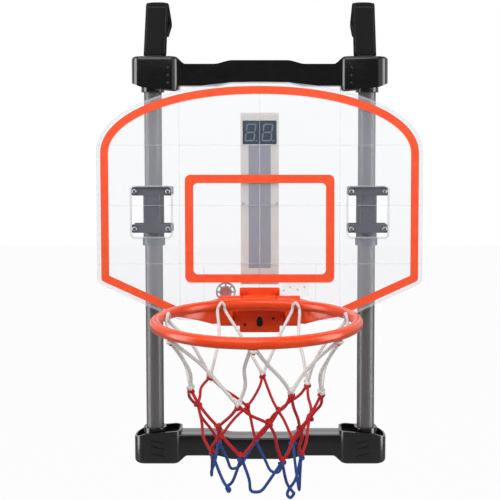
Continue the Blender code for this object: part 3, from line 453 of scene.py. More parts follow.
def braidedCord(name, first, second):
    # braided polyester cord: 4 strands each way round it, crossing every 2.4 mm, with a dry sheen, painted shade in the
    # grooves between strands and a random dye tone
    made, shader = startMaterial(name, first, 0.82, Specular_IOR_Level=0.25, Sheen_Weight=0.04)
    strands = 4
    pitch = 0.0048
    waves = []
    for way in (-1, 1):
        around, along = wavePattern(made, "X", strands), wavePattern(made, "Y", way / pitch)
        both = addNode(made, "ShaderNodeMath", {0: around, 1: along}, operation="ADD").outputs[0]
        waves.append(addNode(made, "ShaderNodeMath", {0: both}, operation="SINE").outputs[0])
    braid = addNode(made, "ShaderNodeMath", {0: waves[0], 1: waves[1]}, operation="MAXIMUM").outputs[0]
    # painted shade: the colour darkens toward the second shade in the grooves between strands
    groove = addNode(made, "ShaderNodeMapRange", {"Value": braid, "From Min": -0.2, "From Max": 1,
                                                  "To Min": 0.65, "To Max": 0}).outputs[0]
    dye = addNode(made, "ShaderNodeMapRange", {"Value": cloudPattern(made, 0.004), "From Min": 0.3, "From Max": 0.7,
                                               "To Min": 0, "To Max": 0.35}).outputs[0]
    # painted groove shade plus a random dye tone
    grooveShadeAndDye = addNode(made, "ShaderNodeMath", {0: groove, 1: dye}, operation="ADD", use_clamp=True).outputs[0]
    mixed = addNode(made, "ShaderNodeMix", {0: grooveShadeAndDye, 6: colour(first), 7: colour(second)}, data_type="RGBA")
    made.node_tree.links.new(mixed.outputs[2], shader.inputs["Base Color"])
    addSurface(made, shader, relief=(braid, 0.00025, 0.7))
    return made


def blackWebbing():
    # woven polyester over foam: 1.1 mm plain weave, dry, with painted light on its thread crowns and painted shade in
    # the dips between them
    made, shader = startMaterial("blackWebbing", "0e0d0f", 0.92, Specular_IOR_Level=0.2)
    thread = 0.0011
    waves = [addNode(made, "ShaderNodeMath", {0: wavePattern(made, axis, 0.5 / thread)}, operation="SINE").outputs[0]
             for axis in ("X", "Y")]
    weave = addNode(made, "ShaderNodeMath", {0: waves[0], 1: waves[1]}, operation="MULTIPLY").outputs[0]
    # painted light and shade: thread crowns take the lighter colour, the dips between threads the darker one
    crownLight = addNode(made, "ShaderNodeMapRange", {"Value": weave, "From Min": -0.6, "From Max": 0.9}).outputs[0]
    mixed = addNode(made, "ShaderNodeMix", {0: crownLight, 6: colour("0a090b"), 7: colour("171518")}, data_type="RGBA")
    made.node_tree.links.new(mixed.outputs[2], shader.inputs["Base Color"])
    soft = addNode(made, "ShaderNodeBump", {"Height": cloudPattern(made, 0.009, 2),
                                            "Distance": 0.0008, "Strength": 0.5}).outputs[0]
    addSurface(made, shader, relief=(weave, 0.00025, 0.7), under=soft)
    return made


blackPlastic = glossBlackAbs()
orangePlastic = orangeAbs()
clearPlastic = clearSheet("clearPolycarbonate", 0.13, 0.36, "e6ebf4")
ridgePlastic = clearSheet("clearRidge", 0.3, 0.62, "dadde3")
polishedClear = clearSheet("polishedClear", 0.03, 0.2, "f2f4f8")
borderInk = screenInk("orangeInk", "f9532a", "fd5c34")
tubeSteel = greyPaint()
coatedSteel = lacqueredSteel()
brightSteel = zincSteel()
clampPlastic = greyAbs()
casePlastic = milkyAbs("milkyCaseAbs", "ebe3da", "f2ece5", 0.74)
trayPlastic = plainResin("lilacTrayAbs", "767584", "807f8d", 0.45, 0.01)
# painted highlight: the rib is far lighter than the tray, for the bright line where the board's centre rib crosses it
ribHighlightPlastic = plainResin("trayRibAbs", "bcbbc3", "c4c3ca", 0.4)
displayGlass = plainResin("smokedDisplayResin", "404a57", "47515f", 0.2)
segmentResin = plainResin("unlitSegmentResin", "6d7784", "77818e", 0.3)
circuitBoard = milkyAbs("whiteSolderMask", "fdfaf1", "fffdf6", 0.12)
greenBoard = plainResin("greenSolderMask", "2f5a3c", "376646", 0.35)
cellSleeve = plainResin("printedCellSleeve", "3a6f4a", "44795a", 0.3)
frameGrey = plainResin("speakerFrameResin", "6c6567", "7a7375", 0.45)
conePaper = plainResin("speakerConePaper", "a8655f", "bd7a73", 0.7, 0.002)
whiteCord = braidedCord("whiteBraid", "e9e5e1", "d3cdc8")
redCord = braidedCord("redBraid", "d3191f", "9c0f16")
blueCord = braidedCord("blueBraid", "27519f", "17356f")
threadCord = plainResin("greyStitchThread", "2a292c", "373639", 0.7, 0.001)
webbing = blackWebbing()
print("materials made")


boardShape = {
    "halfWidth": boardHigh.x, "top": boardHigh.z, "bottom": boardLow.z,
    "shoulder": -0.187, "corner": -0.346, "bottomHalf": 0.100, "arch": 0.95,
    "skin": 0.0014, "edgeWidth": 0.0026, "rib": 0.0011,
    "levels": (-0.176, -0.250, -0.3222), "uprights": (-0.0985, 0.0, 0.0985), "feet": (-0.069, 0.069),
    "inkInset": 0.0050, "inkWidth": 0.0097, "ink": 0.00012,
    "target": (0.0917, -0.3452, -0.2122), "targetWidth": 0.0103,
    "window": (0.0262, -0.2908, -0.2253), "windowWall": 0.0021, "windowRise": 0.0007,
    "speaker": (-0.0421, -0.3575), "coneHole": 0.0066,
    "slots": 8, "slotHalf": 0.0024, "slotFrom": 0.0075, "slotTo": 0.0101, "displayPlay": 0.0003,
}


def boardOutline(inset=0.0):
    s = boardShape
    right = []
    for k in range(33):
        angle = math.pi / 2 * k / 32
        across = s["halfWidth"] * math.sin(angle) ** s["arch"]
        drop = (s["top"] - s["shoulder"]) * (1 - abs(math.cos(angle)) ** s["arch"])
        right.append((across, s["top"] - drop, 0))
    right += [(s["halfWidth"], s["corner"], 0.009), (s["bottomHalf"], s["bottom"], 0.006)]
    whole = right + [(-u, v, r) for u, v, r in reversed(right[1:])]
    moved = insetOutline([(u, v) for u, v, r in whole], inset)
    return roundCorners([(u, v, max(0.0012, r - inset) if r else 0) for (u, v), (a, b, r) in zip(moved, whole)], 8)


def crossings(outline, axis, level):
    # where the outline reaches the level along one axis
    found = []
    for a, b in zip(outline, outline[1:] + outline[:1]):
        if (a[axis] - level) * (b[axis] - level) <= 0 and abs(b[axis] - a[axis]) > 1e-9:
            share = (level - a[axis]) / (b[axis] - a[axis])
            found.append(a[1 - axis] + (b[1 - axis] - a[1 - axis]) * share)
    return found


def tallRect(x, half, low, high, inset, radius):
    return roundRect(x - half + inset, x + half - inset, low + inset, high - inset, radius)


def makeBoard():
    s = boardShape
    outline = boardOutline()
    skin = addPlate("skin", "y", outline, boardFront, boardFront + s["skin"], 0.0004)
    through = (boardFront - 0.01, boardBack + 0.01)
    slots = []
    for k in range(s["slots"]):
        slot = addBlock("slot", (-s["slotHalf"], through[0], s["slotFrom"]), (s["slotHalf"], through[1], s["slotTo"]))
        turn = Matrix.Rotation(2 * math.pi * (k + 0.5) / s["slots"], 4, "Y")
        slot.data.transform(Matrix.Translation((s["speaker"][0], 0, s["speaker"][1])) @ turn)
        slots.append(slot)
    openings = [tallRect(side * tubeX, *s["window"], 0, 0.005) for side in (-1, 1)]
    low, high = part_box("led_display")
    play = s["displayPlay"]
    openings.append(roundRect(low.x - play, high.x + play, low.z - play, high.z + play, 0.0008))
    openings.append(circleOutline(*s["speaker"], s["coneHole"], 40))
    carve(skin, *slots, *[addPlate("opening", "y", line, *through) for line in openings])
    inner = boardOutline(s["edgeWidth"])
    edge = addBand("edge", "y", outline, inner, boardFront + s["skin"] * 0.6, boardBack, 0.0005)
    parts = [skin, edge]
    ribLine = boardOutline(s["edgeWidth"] * 0.6)
    near = boardFront + s["skin"] * 0.8
    half = s["rib"] / 2
    for level in s["levels"]:
        reach = max(crossings(ribLine, 1, level))
        parts.append(addBlock("rib", (-reach, near, level - half), (reach, boardBack, level + half), 0.0002, 1))
    for x in s["uprights"] + s["feet"]:
        ends = crossings(ribLine, 0, x)
        high = s["levels"][-1] if x in s["feet"] else max(ends)
        parts.append(addBlock("rib", (x - half, near, min(ends)), (x + half, boardBack - 0.0001, high), 0.0002, 1))
    finishPiece(joinAs("clearBoard", parts), "clearBoard", "board", clearPlastic, ["backboard"])

    ink, under = boardFront - s["ink"], boardFront + 0.00002
    outer, inner = boardOutline(s["inkInset"]), boardOutline(s["inkInset"] + s["inkWidth"])
    finishPiece(addBand("border", "y", outer, inner, ink, under), "borderPrint", "board", borderInk, angle=0)
    outer = tallRect(0, *s["target"], 0, 0.007)
    inner = tallRect(0, *s["target"], s["targetWidth"], 0.0055)
    finishPiece(addBand("target", "y", outer, inner, ink, under), "targetPrint", "board", borderInk, angle=0)

    wall = s["windowWall"]
    for side, word in ((-1, "Left"), (1, "Right")):
        outer, inner, middle = [tallRect(side * tubeX, *s["window"], inset, radius)
                                for inset, radius in ((0, 0.006), (wall, 0.0042), (wall * 0.5, 0.004))]
        ridge = addBand("ridge", "y", outer, inner, boardFront - s["windowRise"], boardBack + 0.0001, 0.0005)
        finishPiece(ridge, "clampWindow" + word, "board", ridgePlastic)
        pane = addPlate("pane", "y", middle, boardBack - 0.0009, boardBack - 0.0001)
        finishPiece(pane, "clampPane" + word, "board", polishedClear)


makeBoard()
print("board made")


screwShape = {"head": 0.0028, "height": 0.0017, "shank": 0.0013, "cross": 0.0009, "deep": 0.0011}


def makeScrewMaster():
    s = screwShape
    head = addRod("head", (0, 0, 0), (0, s["height"], 0), s["head"], 28, s["height"] * 0.62, 4)
    reach, half = s["head"] * 0.62, s["cross"] / 2
    for u, v in ((reach, half), (half, reach)):
        carve(head, addBlock("arm", (-u, -0.001, -v), (u, s["deep"], v)))
    return head


def makeScrews():
    s = screwShape
    master = makeScrewMaster()
    for node in sorted(frame["nodes"]):
        if "screw" not in node:
            continue
        low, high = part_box(node)
        x, z = (low.x + high.x) / 2, (low.z + high.z) / 2
        front = node.startswith("clamp_screws")
        turn = Matrix.Rotation(math.radians(17 + 31 * (len(node) + int(x * 1e4)) % 90), 4, "Y")
        near, end, way = (low.y, high.y, 1) if front else (high.y, low.y, -1)
        place = Matrix.Translation((x, near, z)) @ Matrix.Rotation(0 if front else math.pi, 4, "Z") @ turn
        ends = sorted(((x, near + way * s["height"] * 0.9, z), (x, end, z)))
        shank = addRod("shank", *ends, s["shank"], 14, 0.0003, 1)
        head = copyTo(master, "head", place)
        body = frame["nodes"][node]["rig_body"]
        name = "pan" + "".join(word.capitalize() for word in node.split("_"))
        finishPiece(joinAs(name, [head, shank]), name, body, brightSteel, [node])
    bpy.data.objects.remove(master, do_unlink=True)


makeScrews()
print("screws made")


barShape = {
    "hubCentre": tubeX - 0.0042, "hubWidth": 0.0586, "hubDepth": 0.038,
    "outerCorner": 0.014, "innerCorner": 0.010,
    "rimOuter": 0.029, "rimInner": 0.0415,
    "beamDepth": 0.030, "beamNear": 0.0095, "beamFar": 0.0365,
    "rise": 0.0045, "riseFrom": 0.056, "riseTo": 0.034,
    "socket": 0.0143, "socketEnd": 0.044, "parting": 0.0003,
    "slotHalf": 0.0099, "slotFront": -0.0315, "slotRear": -0.0135, "slotDeep": 0.0195,
    "pips": (0.0144, 0.0237, 0.0330), "pipHalves": (0.0013, 0.0005, 0.0015), "pipFromSide": 0.0125,
    "grooves": (0.0125, 0.0215, 0.0290), "grooveHalf": 0.0085, "grooveWide": 0.0014, "grooveDeep": 0.0009,
    "grooveTilt": 14,
}


def smoothStep(value, start, end):
    share = min(1.0, max(0.0, (value - start) / (end - start)))
    return share * share * (3 - 2 * share)


def addHub(side):
    s = barShape
    left, right = s["hubCentre"] - s["hubWidth"] / 2, s["hubCentre"] + s["hubWidth"] / 2
    front, rear = tubeY - s["hubDepth"] / 2, tubeY + s["hubDepth"] / 2
    outline = roundCorners([(left, front, s["innerCorner"]), (right, front, s["outerCorner"]),
                            (right, rear, s["outerCorner"]), (left, rear, s["innerCorner"])], 9)
    hub = addPlate("hub", "z", outline, -s["rimInner"], 0)
    chooseFaces(hub, lambda face: face.normal.z < -0.5)
    bpy.ops.mesh.inset(thickness=0.0024, depth=0)
    bpy.ops.mesh.extrude_region_move(TRANSFORM_OT_translate={"value": (0, 0, 0.006)})
    bpy.ops.object.mode_set(mode="OBJECT")
    for vertex in hub.data.vertices:
        if vertex.co.z < -0.02:  # the open rim slants up toward the outer side
            share = (right - vertex.co.x) / (right - left)
            vertex.co.z += (s["rimInner"] - s["rimOuter"]) * (1 - smoothStep(share, -0.3, 0.5))
    chooseFaces(hub, lambda face: face.normal.z > 0.9)
    bpy.ops.mesh.bevel(offset=0.0046, segments=5, affect="EDGES")
    bpy.ops.object.mode_set(mode="OBJECT")
    if side < 0:
        mirror = Matrix.Diagonal((-1, 1, 1, 1))
        hub.data.transform(mirror)
        hub.data.flip_normals()
    return hub


def addBeam():
    s = barShape
    reach = s["hubCentre"] - s["hubWidth"] / 2 + 0.006
    front, rear = tubeY - s["beamDepth"] / 2, tubeY + s["beamDepth"] / 2
    beam = addBlock("beam", (-reach, front, -s["beamFar"]), (reach, rear, -s["beamNear"]))
    pick(beam)
    bpy.ops.object.mode_set(mode="EDIT")
    bpy.ops.mesh.select_all(action="DESELECT")
    bpy.ops.object.mode_set(mode="OBJECT")
    for edge in beam.data.edges:
        a, b = [beam.data.vertices[i].co for i in edge.vertices]
        edge.select = abs(a.x - b.x) > 0.01
    bpy.ops.object.mode_set(mode="EDIT")
    bpy.ops.mesh.select_mode(type="EDGE")
    bpy.ops.mesh.subdivide(number_cuts=63)
    bpy.ops.object.mode_set(mode="OBJECT")
    for vertex in beam.data.vertices:
        x = abs(vertex.co.x)
        vertex.co.z += s["rise"] * (1 - smoothStep(x, s["riseTo"], s["riseFrom"]))
        if vertex.co.z > -0.02:  # the flat side sweeps up into the hub
            vertex.co.z += (s["beamNear"] - 0.002) * smoothStep(x, reach - 0.014, reach - 0.003)
    return roundEdges(beam, 0.0022, 4, 50)


def addPip(side, level):
    s = barShape
    x = side * (s["hubCentre"] - s["hubWidth"] / 2 + s["pipFromSide"])
    y = tubeY - s["hubDepth"] / 2 + 0.0001
    clearSelection()
    bpy.ops.mesh.primitive_uv_sphere_add(segments=16, ring_count=8, radius=1, location=(x, y, -level),
                                         scale=s["pipHalves"])
    return settle(bpy.context.object)


def addGroove(side, level):
    s = barShape
    x = side * (s["hubCentre"] - 0.001)
    front = tubeY - s["hubDepth"] / 2
    groove = addBlock("groove", (-s["grooveHalf"], front - 0.002, -s["grooveWide"] / 2),
                      (s["grooveHalf"], front + s["grooveDeep"], s["grooveWide"] / 2), 0.0004, 2)
    turn = Matrix.Rotation(math.radians(side * s["grooveTilt"]), 4, "Y")
    groove.data.transform(Matrix.Translation((x, 0, -level)) @ turn)
    return groove


def cutPart(part, place, sign):
    # each part is cut by itself, so that its cut face closes cleanly
    piece = copyTo(part, "cut", place)
    editAll(piece)
    bpy.ops.mesh.bisect(plane_co=(0, tubeY - sign * barShape["parting"] / 2, 0), plane_no=(0, sign, 0),
                        use_fill=True, clear_outer=True)
    bpy.ops.object.mode_set(mode="OBJECT")
    if piece.data.polygons:
        return piece
    bpy.data.objects.remove(piece, do_unlink=True)


def makeBar(word, flat, flip):
    s = barShape
    parts = [addBeam()]
    for side in (-1, 1):
        hub = addHub(side)
        if flip:
            carve(hub, *[addGroove(side, level) for level in s["grooves"]])
        else:
            x = side * (tubeX - 0.0025)
            low = (x - s["slotHalf"], s["slotFront"], -s["slotDeep"])
            carve(hub, addBlock("slot", low, (x + s["slotHalf"], s["slotRear"], 0.01)))
            parts += [addPip(side, level) for level in s["pips"]]
        socket = addRod("socket", (side * tubeX, tubeY, -0.010), (side * tubeX, tubeY, -s["socketEnd"]),
                        s["socket"], 64, 0.0008, 3)
        parts += [hub, socket]
    place = Matrix.Translation((0, 0, flat)) @ Matrix.Diagonal((1, 1, -1 if flip else 1, 1))
    for half, sign in (("Front", 1), ("Rear", -1)):
        kept = [cutPart(part, place, sign) for part in parts]
        piece = joinAs("half", [part for part in kept if part])
        finishPiece(piece, word + "Bar" + half, "frame", blackPlastic, [f"{word}_bar_{half.lower()}"], 32)
    for part in parts:
        bpy.data.objects.remove(part, do_unlink=True)


makeBar("top", barHigh.z, False)
makeBar("bottom", lowerLow.z, True)
print("bars made")


hoopShape = {
    "ring": (rimHigh.x - rimLow.x) / 2 - 0.006, "ringTube": 0.006,
    "barrel": 0.0067, "barrelHalf": 0.0492, "lugHalf": 0.0205, "gap": 0.0003,
    "webLow": -0.0022, "webHigh": 0.0035,
    "skirtWall": 0.003, "skirtBottom": -0.0215, "skirtTop": -0.001, "arm": 0.032,
    "skirtInner": -0.008, "skirtOuter": -0.004, "skirtFull": 0.055, "skirtEnd": 0.098,
    "pegs": 7, "peg": 0.0016, "pegEnd": -0.0115, "stud": 0.0012, "studOut": 0.0042, "studHigh": 0.0012,
    "footStand": 0.0034, "footTop": -0.0175, "footBottom": -0.032,
}
ringY = rimLow.y + hoopShape["ring"] + hoopShape["ringTube"]


def onRing(angle, radius=hoopShape["ring"]):
    # an angle of 0 is at the rear
    return math.sin(angle) * radius, ringY + math.cos(angle) * radius


def addWeb():
    s = hoopShape
    arc = [onRing(math.radians(-50 + 100 * k / 40)) for k in range(41)]
    outline = [(-s["barrelHalf"], barrelY), *arc, (s["barrelHalf"], barrelY)]
    return addPlate("web", "z", outline, ringZ + s["webLow"], ringZ + s["webHigh"], 0.0007)


def skirtDepth(x):
    s = hoopShape
    reach = abs(x)
    if reach < s["arm"]:
        return s["skirtInner"]
    if reach < s["skirtFull"]:
        return s["skirtBottom"]
    share = min(1.0, (reach - s["skirtFull"]) / (s["skirtEnd"] - s["skirtFull"]))
    return s["skirtBottom"] + (s["skirtOuter"] - s["skirtBottom"]) * share


def addSkirt():
    s = hoopShape
    clearSelection()
    across, down = 160, 4
    bpy.ops.mesh.primitive_grid_add(x_subdivisions=across, y_subdivisions=down, size=2)
    skirt = bpy.context.object
    for vertex in skirt.data.vertices:
        x, y = onRing(math.radians(64 * vertex.co.x))
        low = skirtDepth(x)
        share = (vertex.co.y + 1) / 2
        vertex.co = (x, y, ringZ + low + (s["skirtTop"] - low) * share)
    applyModifier(skirt, "SOLIDIFY", thickness=s["skirtWall"], offset=0)
    editAll(skirt)
    bpy.ops.mesh.normals_make_consistent(inside=False)
    bpy.ops.object.mode_set(mode="OBJECT")
    return roundEdges(skirt, 0.0006, 2, 60)


def addFoot(side):
    s = hoopShape
    middle = s["arm"] + 0.002
    front = ringY + math.sqrt(s["ring"] ** 2 - middle ** 2)
    rear = boardFront - s["footStand"]
    corners = [(front, ringZ, 0), (barrelY, ringZ, 0), (rear, ringZ + s["footTop"], 0.001),
               (rear, ringZ + s["footBottom"], 0.001), (front, ringZ + s["skirtBottom"], 0.001)]
    low, high = sorted((side * s["arm"], side * (s["arm"] + 0.004)))
    return addPlate("foot", "x", roundCorners(corners, 4), low, high, 0.0005)


def addPeg(index):
    s = hoopShape
    angle = 2 * math.pi * (index + 0.5) / s["pegs"]
    x, y = onRing(angle)
    stem = addRod("peg", (x, y, ringZ + s["pegEnd"]), (x, y, ringZ - 0.003), s["peg"], 16, 0.0004, 2)
    clearSelection()
    bpy.ops.mesh.primitive_uv_sphere_add(segments=16, ring_count=10, radius=0.0022,
                                         location=(x, y, ringZ + s["pegEnd"] + 0.0021))
    parts = [stem, settle(bpy.context.object)]
    if math.cos(angle) > 0.1:  # at the rear a small stud on the ring's inner side carries the cord
        inside = s["ring"] - s["ringTube"]
        ends = [(*onRing(angle, inside + out), ringZ + s["studHigh"]) for out in (0.001, -s["studOut"])]
        parts.append(addRod("stud", *ends, s["stud"], 16, 0.0004, 2))
    return joinAs("peg", parts)


def makeRim():
    s = hoopShape
    clearSelection()
    bpy.ops.mesh.primitive_torus_add(location=(0, ringY, ringZ), major_radius=s["ring"], minor_radius=s["ringTube"],
                                     major_segments=180, minor_segments=32)
    parts = [settle(bpy.context.object), addWeb(), addSkirt()]
    for side in (-1, 1):
        near, far = side * (s["lugHalf"] + s["gap"]), side * s["barrelHalf"]
        parts.append(addRod("barrel", (near, barrelY, ringZ), (far, barrelY, ringZ), s["barrel"], 56, 0.0009, 3))
        parts.append(addFoot(side))
    web = parts[1]
    gap = s["lugHalf"] + s["gap"]
    carve(web, addBlock("gap", (-gap, barrelY - 0.0077, ringZ - 0.02), (gap, barrelY + 0.02, ringZ + 0.02)))
    parts += [addPeg(k) for k in range(s["pegs"])]
    finishPiece(joinAs("hoopRim", parts), "hoopRim", "rim", orangePlastic, ["rim"], 38)


bracketShape = {
    "plateHalf": 0.0247, "plateTop": 0.0135, "plateBottom": -0.042, "thick": 0.003, "stand": 0.0003,
    "wingHalf": 0.0485, "wingTop": -0.0155, "wingBottom": -0.034,
    # half of the keyhole from its top down: half width, height, corner radius
    "keyhole": ((0.0022, -0.0225, 0.002), (0.0039, -0.028, 0.001), (0.0039, -0.035, 0.0037)),
    "dimples": ((-0.0183, -0.0325), (0.0166, -0.0245)), "dimple": 0.0015, "dimpleDeep": 0.0024,
    "slotX": 0.0420, "slotHalf": 0.003, "slotLow": -0.0215, "slotHigh": -0.0200,
    "bosses": ((-0.0195, 0.0085), (0.0195, 0.0085), (-0.028, -0.02475), (0.028, -0.02475)), "boss": 0.0034,
    # the black cup behind the keyhole is painted shade
    "cupHalf": 0.0062, "cupLow": -0.0408, "cupHigh": -0.0205,
}


def makeBracket():
    s = bracketShape
    h = hoopShape
    back = boardFront - s["stand"]
    front = back - s["thick"]
    outline = roundRect(-s["plateHalf"], s["plateHalf"], ringZ + s["plateBottom"], ringZ + s["plateTop"], 0.0022)
    plate = addPlate("plate", "y", outline, front, back, 0.0006)
    wings = roundRect(-s["wingHalf"], s["wingHalf"], ringZ + s["wingBottom"], ringZ + s["wingTop"], 0.0015)
    wing = addPlate("wings", "y", wings, front + 0.0002, back - 0.0002, 0.0005)
    half = [(u, ringZ + v, r) for u, v, r in s["keyhole"]]
    key = roundCorners([(-half[0][0], *half[0][1:])] + half + [(-u, v, r) for u, v, r in half[:0:-1]], 6)
    for target in (plate, wing):
        carve(target, addPlate("key", "y", key, front - 0.002, back + 0.002))
    for x, z in s["dimples"]:
        for target in (plate, wing):
            ends = [(x, front + y, ringZ + z) for y in (-0.002, s["dimpleDeep"])]
            carve(target, addRod("dimple", *ends, s["dimple"], 20))
    for side in (-1, 1):
        x = side * s["slotX"]
        carve(wing, addBlock("slot", (x - s["slotHalf"], front - 0.002, ringZ + s["slotLow"]),
                             (x + s["slotHalf"], back + 0.002, ringZ + s["slotHigh"])))
    arm = 0.9 * h["barrel"]
    lug = h["lugHalf"]
    parts = [plate, wing, addBlock("arm", (-lug + 0.0005, barrelY, ringZ - arm),
                                   (lug - 0.0005, front + 0.001, ringZ + arm), 0.0006, 2)]
    parts.append(addRod("lug", (-lug, barrelY, ringZ), (lug, barrelY, ringZ), h["barrel"], 56, 0.0008, 3))
    for x, z in s["bosses"]:
        ends = [(x, back + y, ringZ + z) for y in (-0.006, -0.001)]
        parts.append(addRod("boss", *ends, s["boss"], 28, 0.0006, 2))
    finishPiece(joinAs("hoopBracket", parts), "hoopBracket", "board", orangePlastic, ["hoop_bracket"], 38)
    # a black cup closes the keyhole from behind; it is painted shade, so that the keyhole looks like a cavity lying in
    # shade
    line = roundRect(-s["cupHalf"], s["cupHalf"], ringZ + s["cupLow"], ringZ + s["cupHigh"], 0.0015)
    cup = addPlate("cup", "y", line, front + 0.0019, back - 0.0001)
    carve(cup, addPlate("key", "y", insetOutline(key, -0.0002), front - 0.002, back - 0.0006))
    finishPiece(cup, "keyholeCup", "board", blackPlastic, angle=30)


makeRim()
makeBracket()
print("hoop made")


netShape = {
    "whiteRadius": 0.00185, "redRadius": 0.00162, "blueRadius": 0.00162,
    "pegs": hoopShape["pegs"],
    # angle round the ring from its rear in degrees, height and distance from the ring's axis in mm
    "white": ((4, -441, 73), (52, -445, 71), (111, -436, 74), (152, -424, 78),
              (-167, -436, 74), (-118, -429, 77), (-47, -438, 74)),
    "red": ((24, -478, 57), (84, -472, 58), (130, -470, 60), (168, -456, 67),
            (-140, -466, 60), (-88, -456, 64), (-12, -474, 58)),
    "join": ((-3, -512, 51), (52, -506, 50), (113, -504, 52), (148, -503, 52),
             (-164, -496, 53), (-119, -501, 53), (-57, -505, 52)),
    "loop": ((25, -545, 45), (84, -550, 46), (129, -543, 47), (179, -534, 47),
             (-143, -533, 48), (-95, -531, 49), (-33, -540, 47)),
    "eyes": (2, 4),
    "whiteKnot": 0.0030, "redKnot": 0.0036, "blueKnot": 0.0033,
    "seed": 11,
}


def onNet(angle, height, distance):
    return Vector((*onRing(math.radians(angle), distance / 1000), height / 1000))


def up(height):
    return Vector((0, 0, height))


def smoothPath(points, step=0.0022):
    made = []
    for i in range(len(points) - 1):
        p0 = points[i - 1] if i else points[0] * 2 - points[1]
        p1, p2 = points[i], points[i + 1]
        p3 = points[i + 2] if i + 2 < len(points) else p2 * 2 - p1
        count = max(2, round((p2 - p1).length / step))
        for k in range(count):
            t = k / count
            made.append(0.5 * (2 * p1 + (p2 - p0) * t + (2 * p0 - 5 * p1 + 4 * p2 - p3) * t * t
                               + (3 * p1 - p0 - 3 * p2 + p3) * t ** 3))
    made.append(points[-1])
    return made


def cordPiece(name, paths, radius, sides=12):
    shape = bmesh.new()
    layer = shape.loops.layers.uv.new("cord")
    for path in paths:
        rings = []
        length = 0.0
        tangent = (path[1] - path[0]).normalized()
        across = tangent.orthogonal().normalized()
        for i, point in enumerate(path):
            ahead = path[min(i + 1, len(path) - 1)] - path[max(i - 1, 0)]
            turned = ahead.normalized()
            across = (across - turned * across.dot(turned)).normalized()
            other = turned.cross(across)
            if i:
                length += (point - path[i - 1]).length
            ring = []
            for k in range(sides):
                angle = 2 * math.pi * k / sides
                ring.append(shape.verts.new(point + (across * math.cos(angle) + other * math.sin(angle)) * radius))
            rings.append((ring, length))
        for (ring, start), (ahead, end) in zip(rings, rings[1:]):
            for k in range(sides):
                n = (k + 1) % sides
                face = shape.faces.new((ring[k], ring[n], ahead[n], ahead[k]))
                face.smooth = True
                uvs = ((k / sides, start), ((k + 1) / sides, start), ((k + 1) / sides, end), (k / sides, end))
                for loop, value in zip(face.loops, uvs):
                    loop[layer].uv = value
        for (ring, at), way in ((rings[0], -1), (rings[-1], 1)):
            tip = path[0] if way < 0 else path[-1]
            second = path[1] if way < 0 else path[-2]
            point = shape.verts.new(tip + (tip - second).normalized() * radius * 0.5)
            for k in range(sides):
                n = (k + 1) % sides
                order = (ring[n], ring[k], point) if way < 0 else (ring[k], ring[n], point)
                face = shape.faces.new(order)
                face.smooth = True
                for loop in face.loops:
                    loop[layer].uv = (k / sides, at)
    return linkMesh(name, shape)


def knotPath(centre, size, chance):
    turn = Quaternion([chance.uniform(-1, 1) for axis in range(3)], chance.uniform(0, 3))
    path = []
    for k in range(49):
        t = 2 * math.pi * k / 48
        point = Vector((math.sin(t) + 2 * math.sin(2 * t), math.cos(t) - 2 * math.cos(2 * t), -math.sin(3 * t)))
        path.append(centre + turn @ point * size / 3)
    return path


def leg(start, end, chance, sag=0.0, pull=0.0):
    axis = Vector((0, ringY, 0))
    points = [start]
    for share in (0.33, 0.67):
        point = start.lerp(end, share)
        outward = Vector((point.x, point.y - ringY, 0)).normalized()
        near, far = [(Vector((tip.x, tip.y, 0)) - axis).length for tip in (start, end)]
        chord = near * (1 - share) + far * share
        point = Vector((0, ringY, point.z)) + outward * (chord - pull + chance.uniform(-0.002, 0.002))
        sideways = Vector((-outward.y, outward.x, 0))
        point += sideways * chance.uniform(-0.0028, 0.0028)
        point.z -= sag + chance.uniform(-0.0012, 0.0012)
        points.append(point)
    points.append(end)
    return points


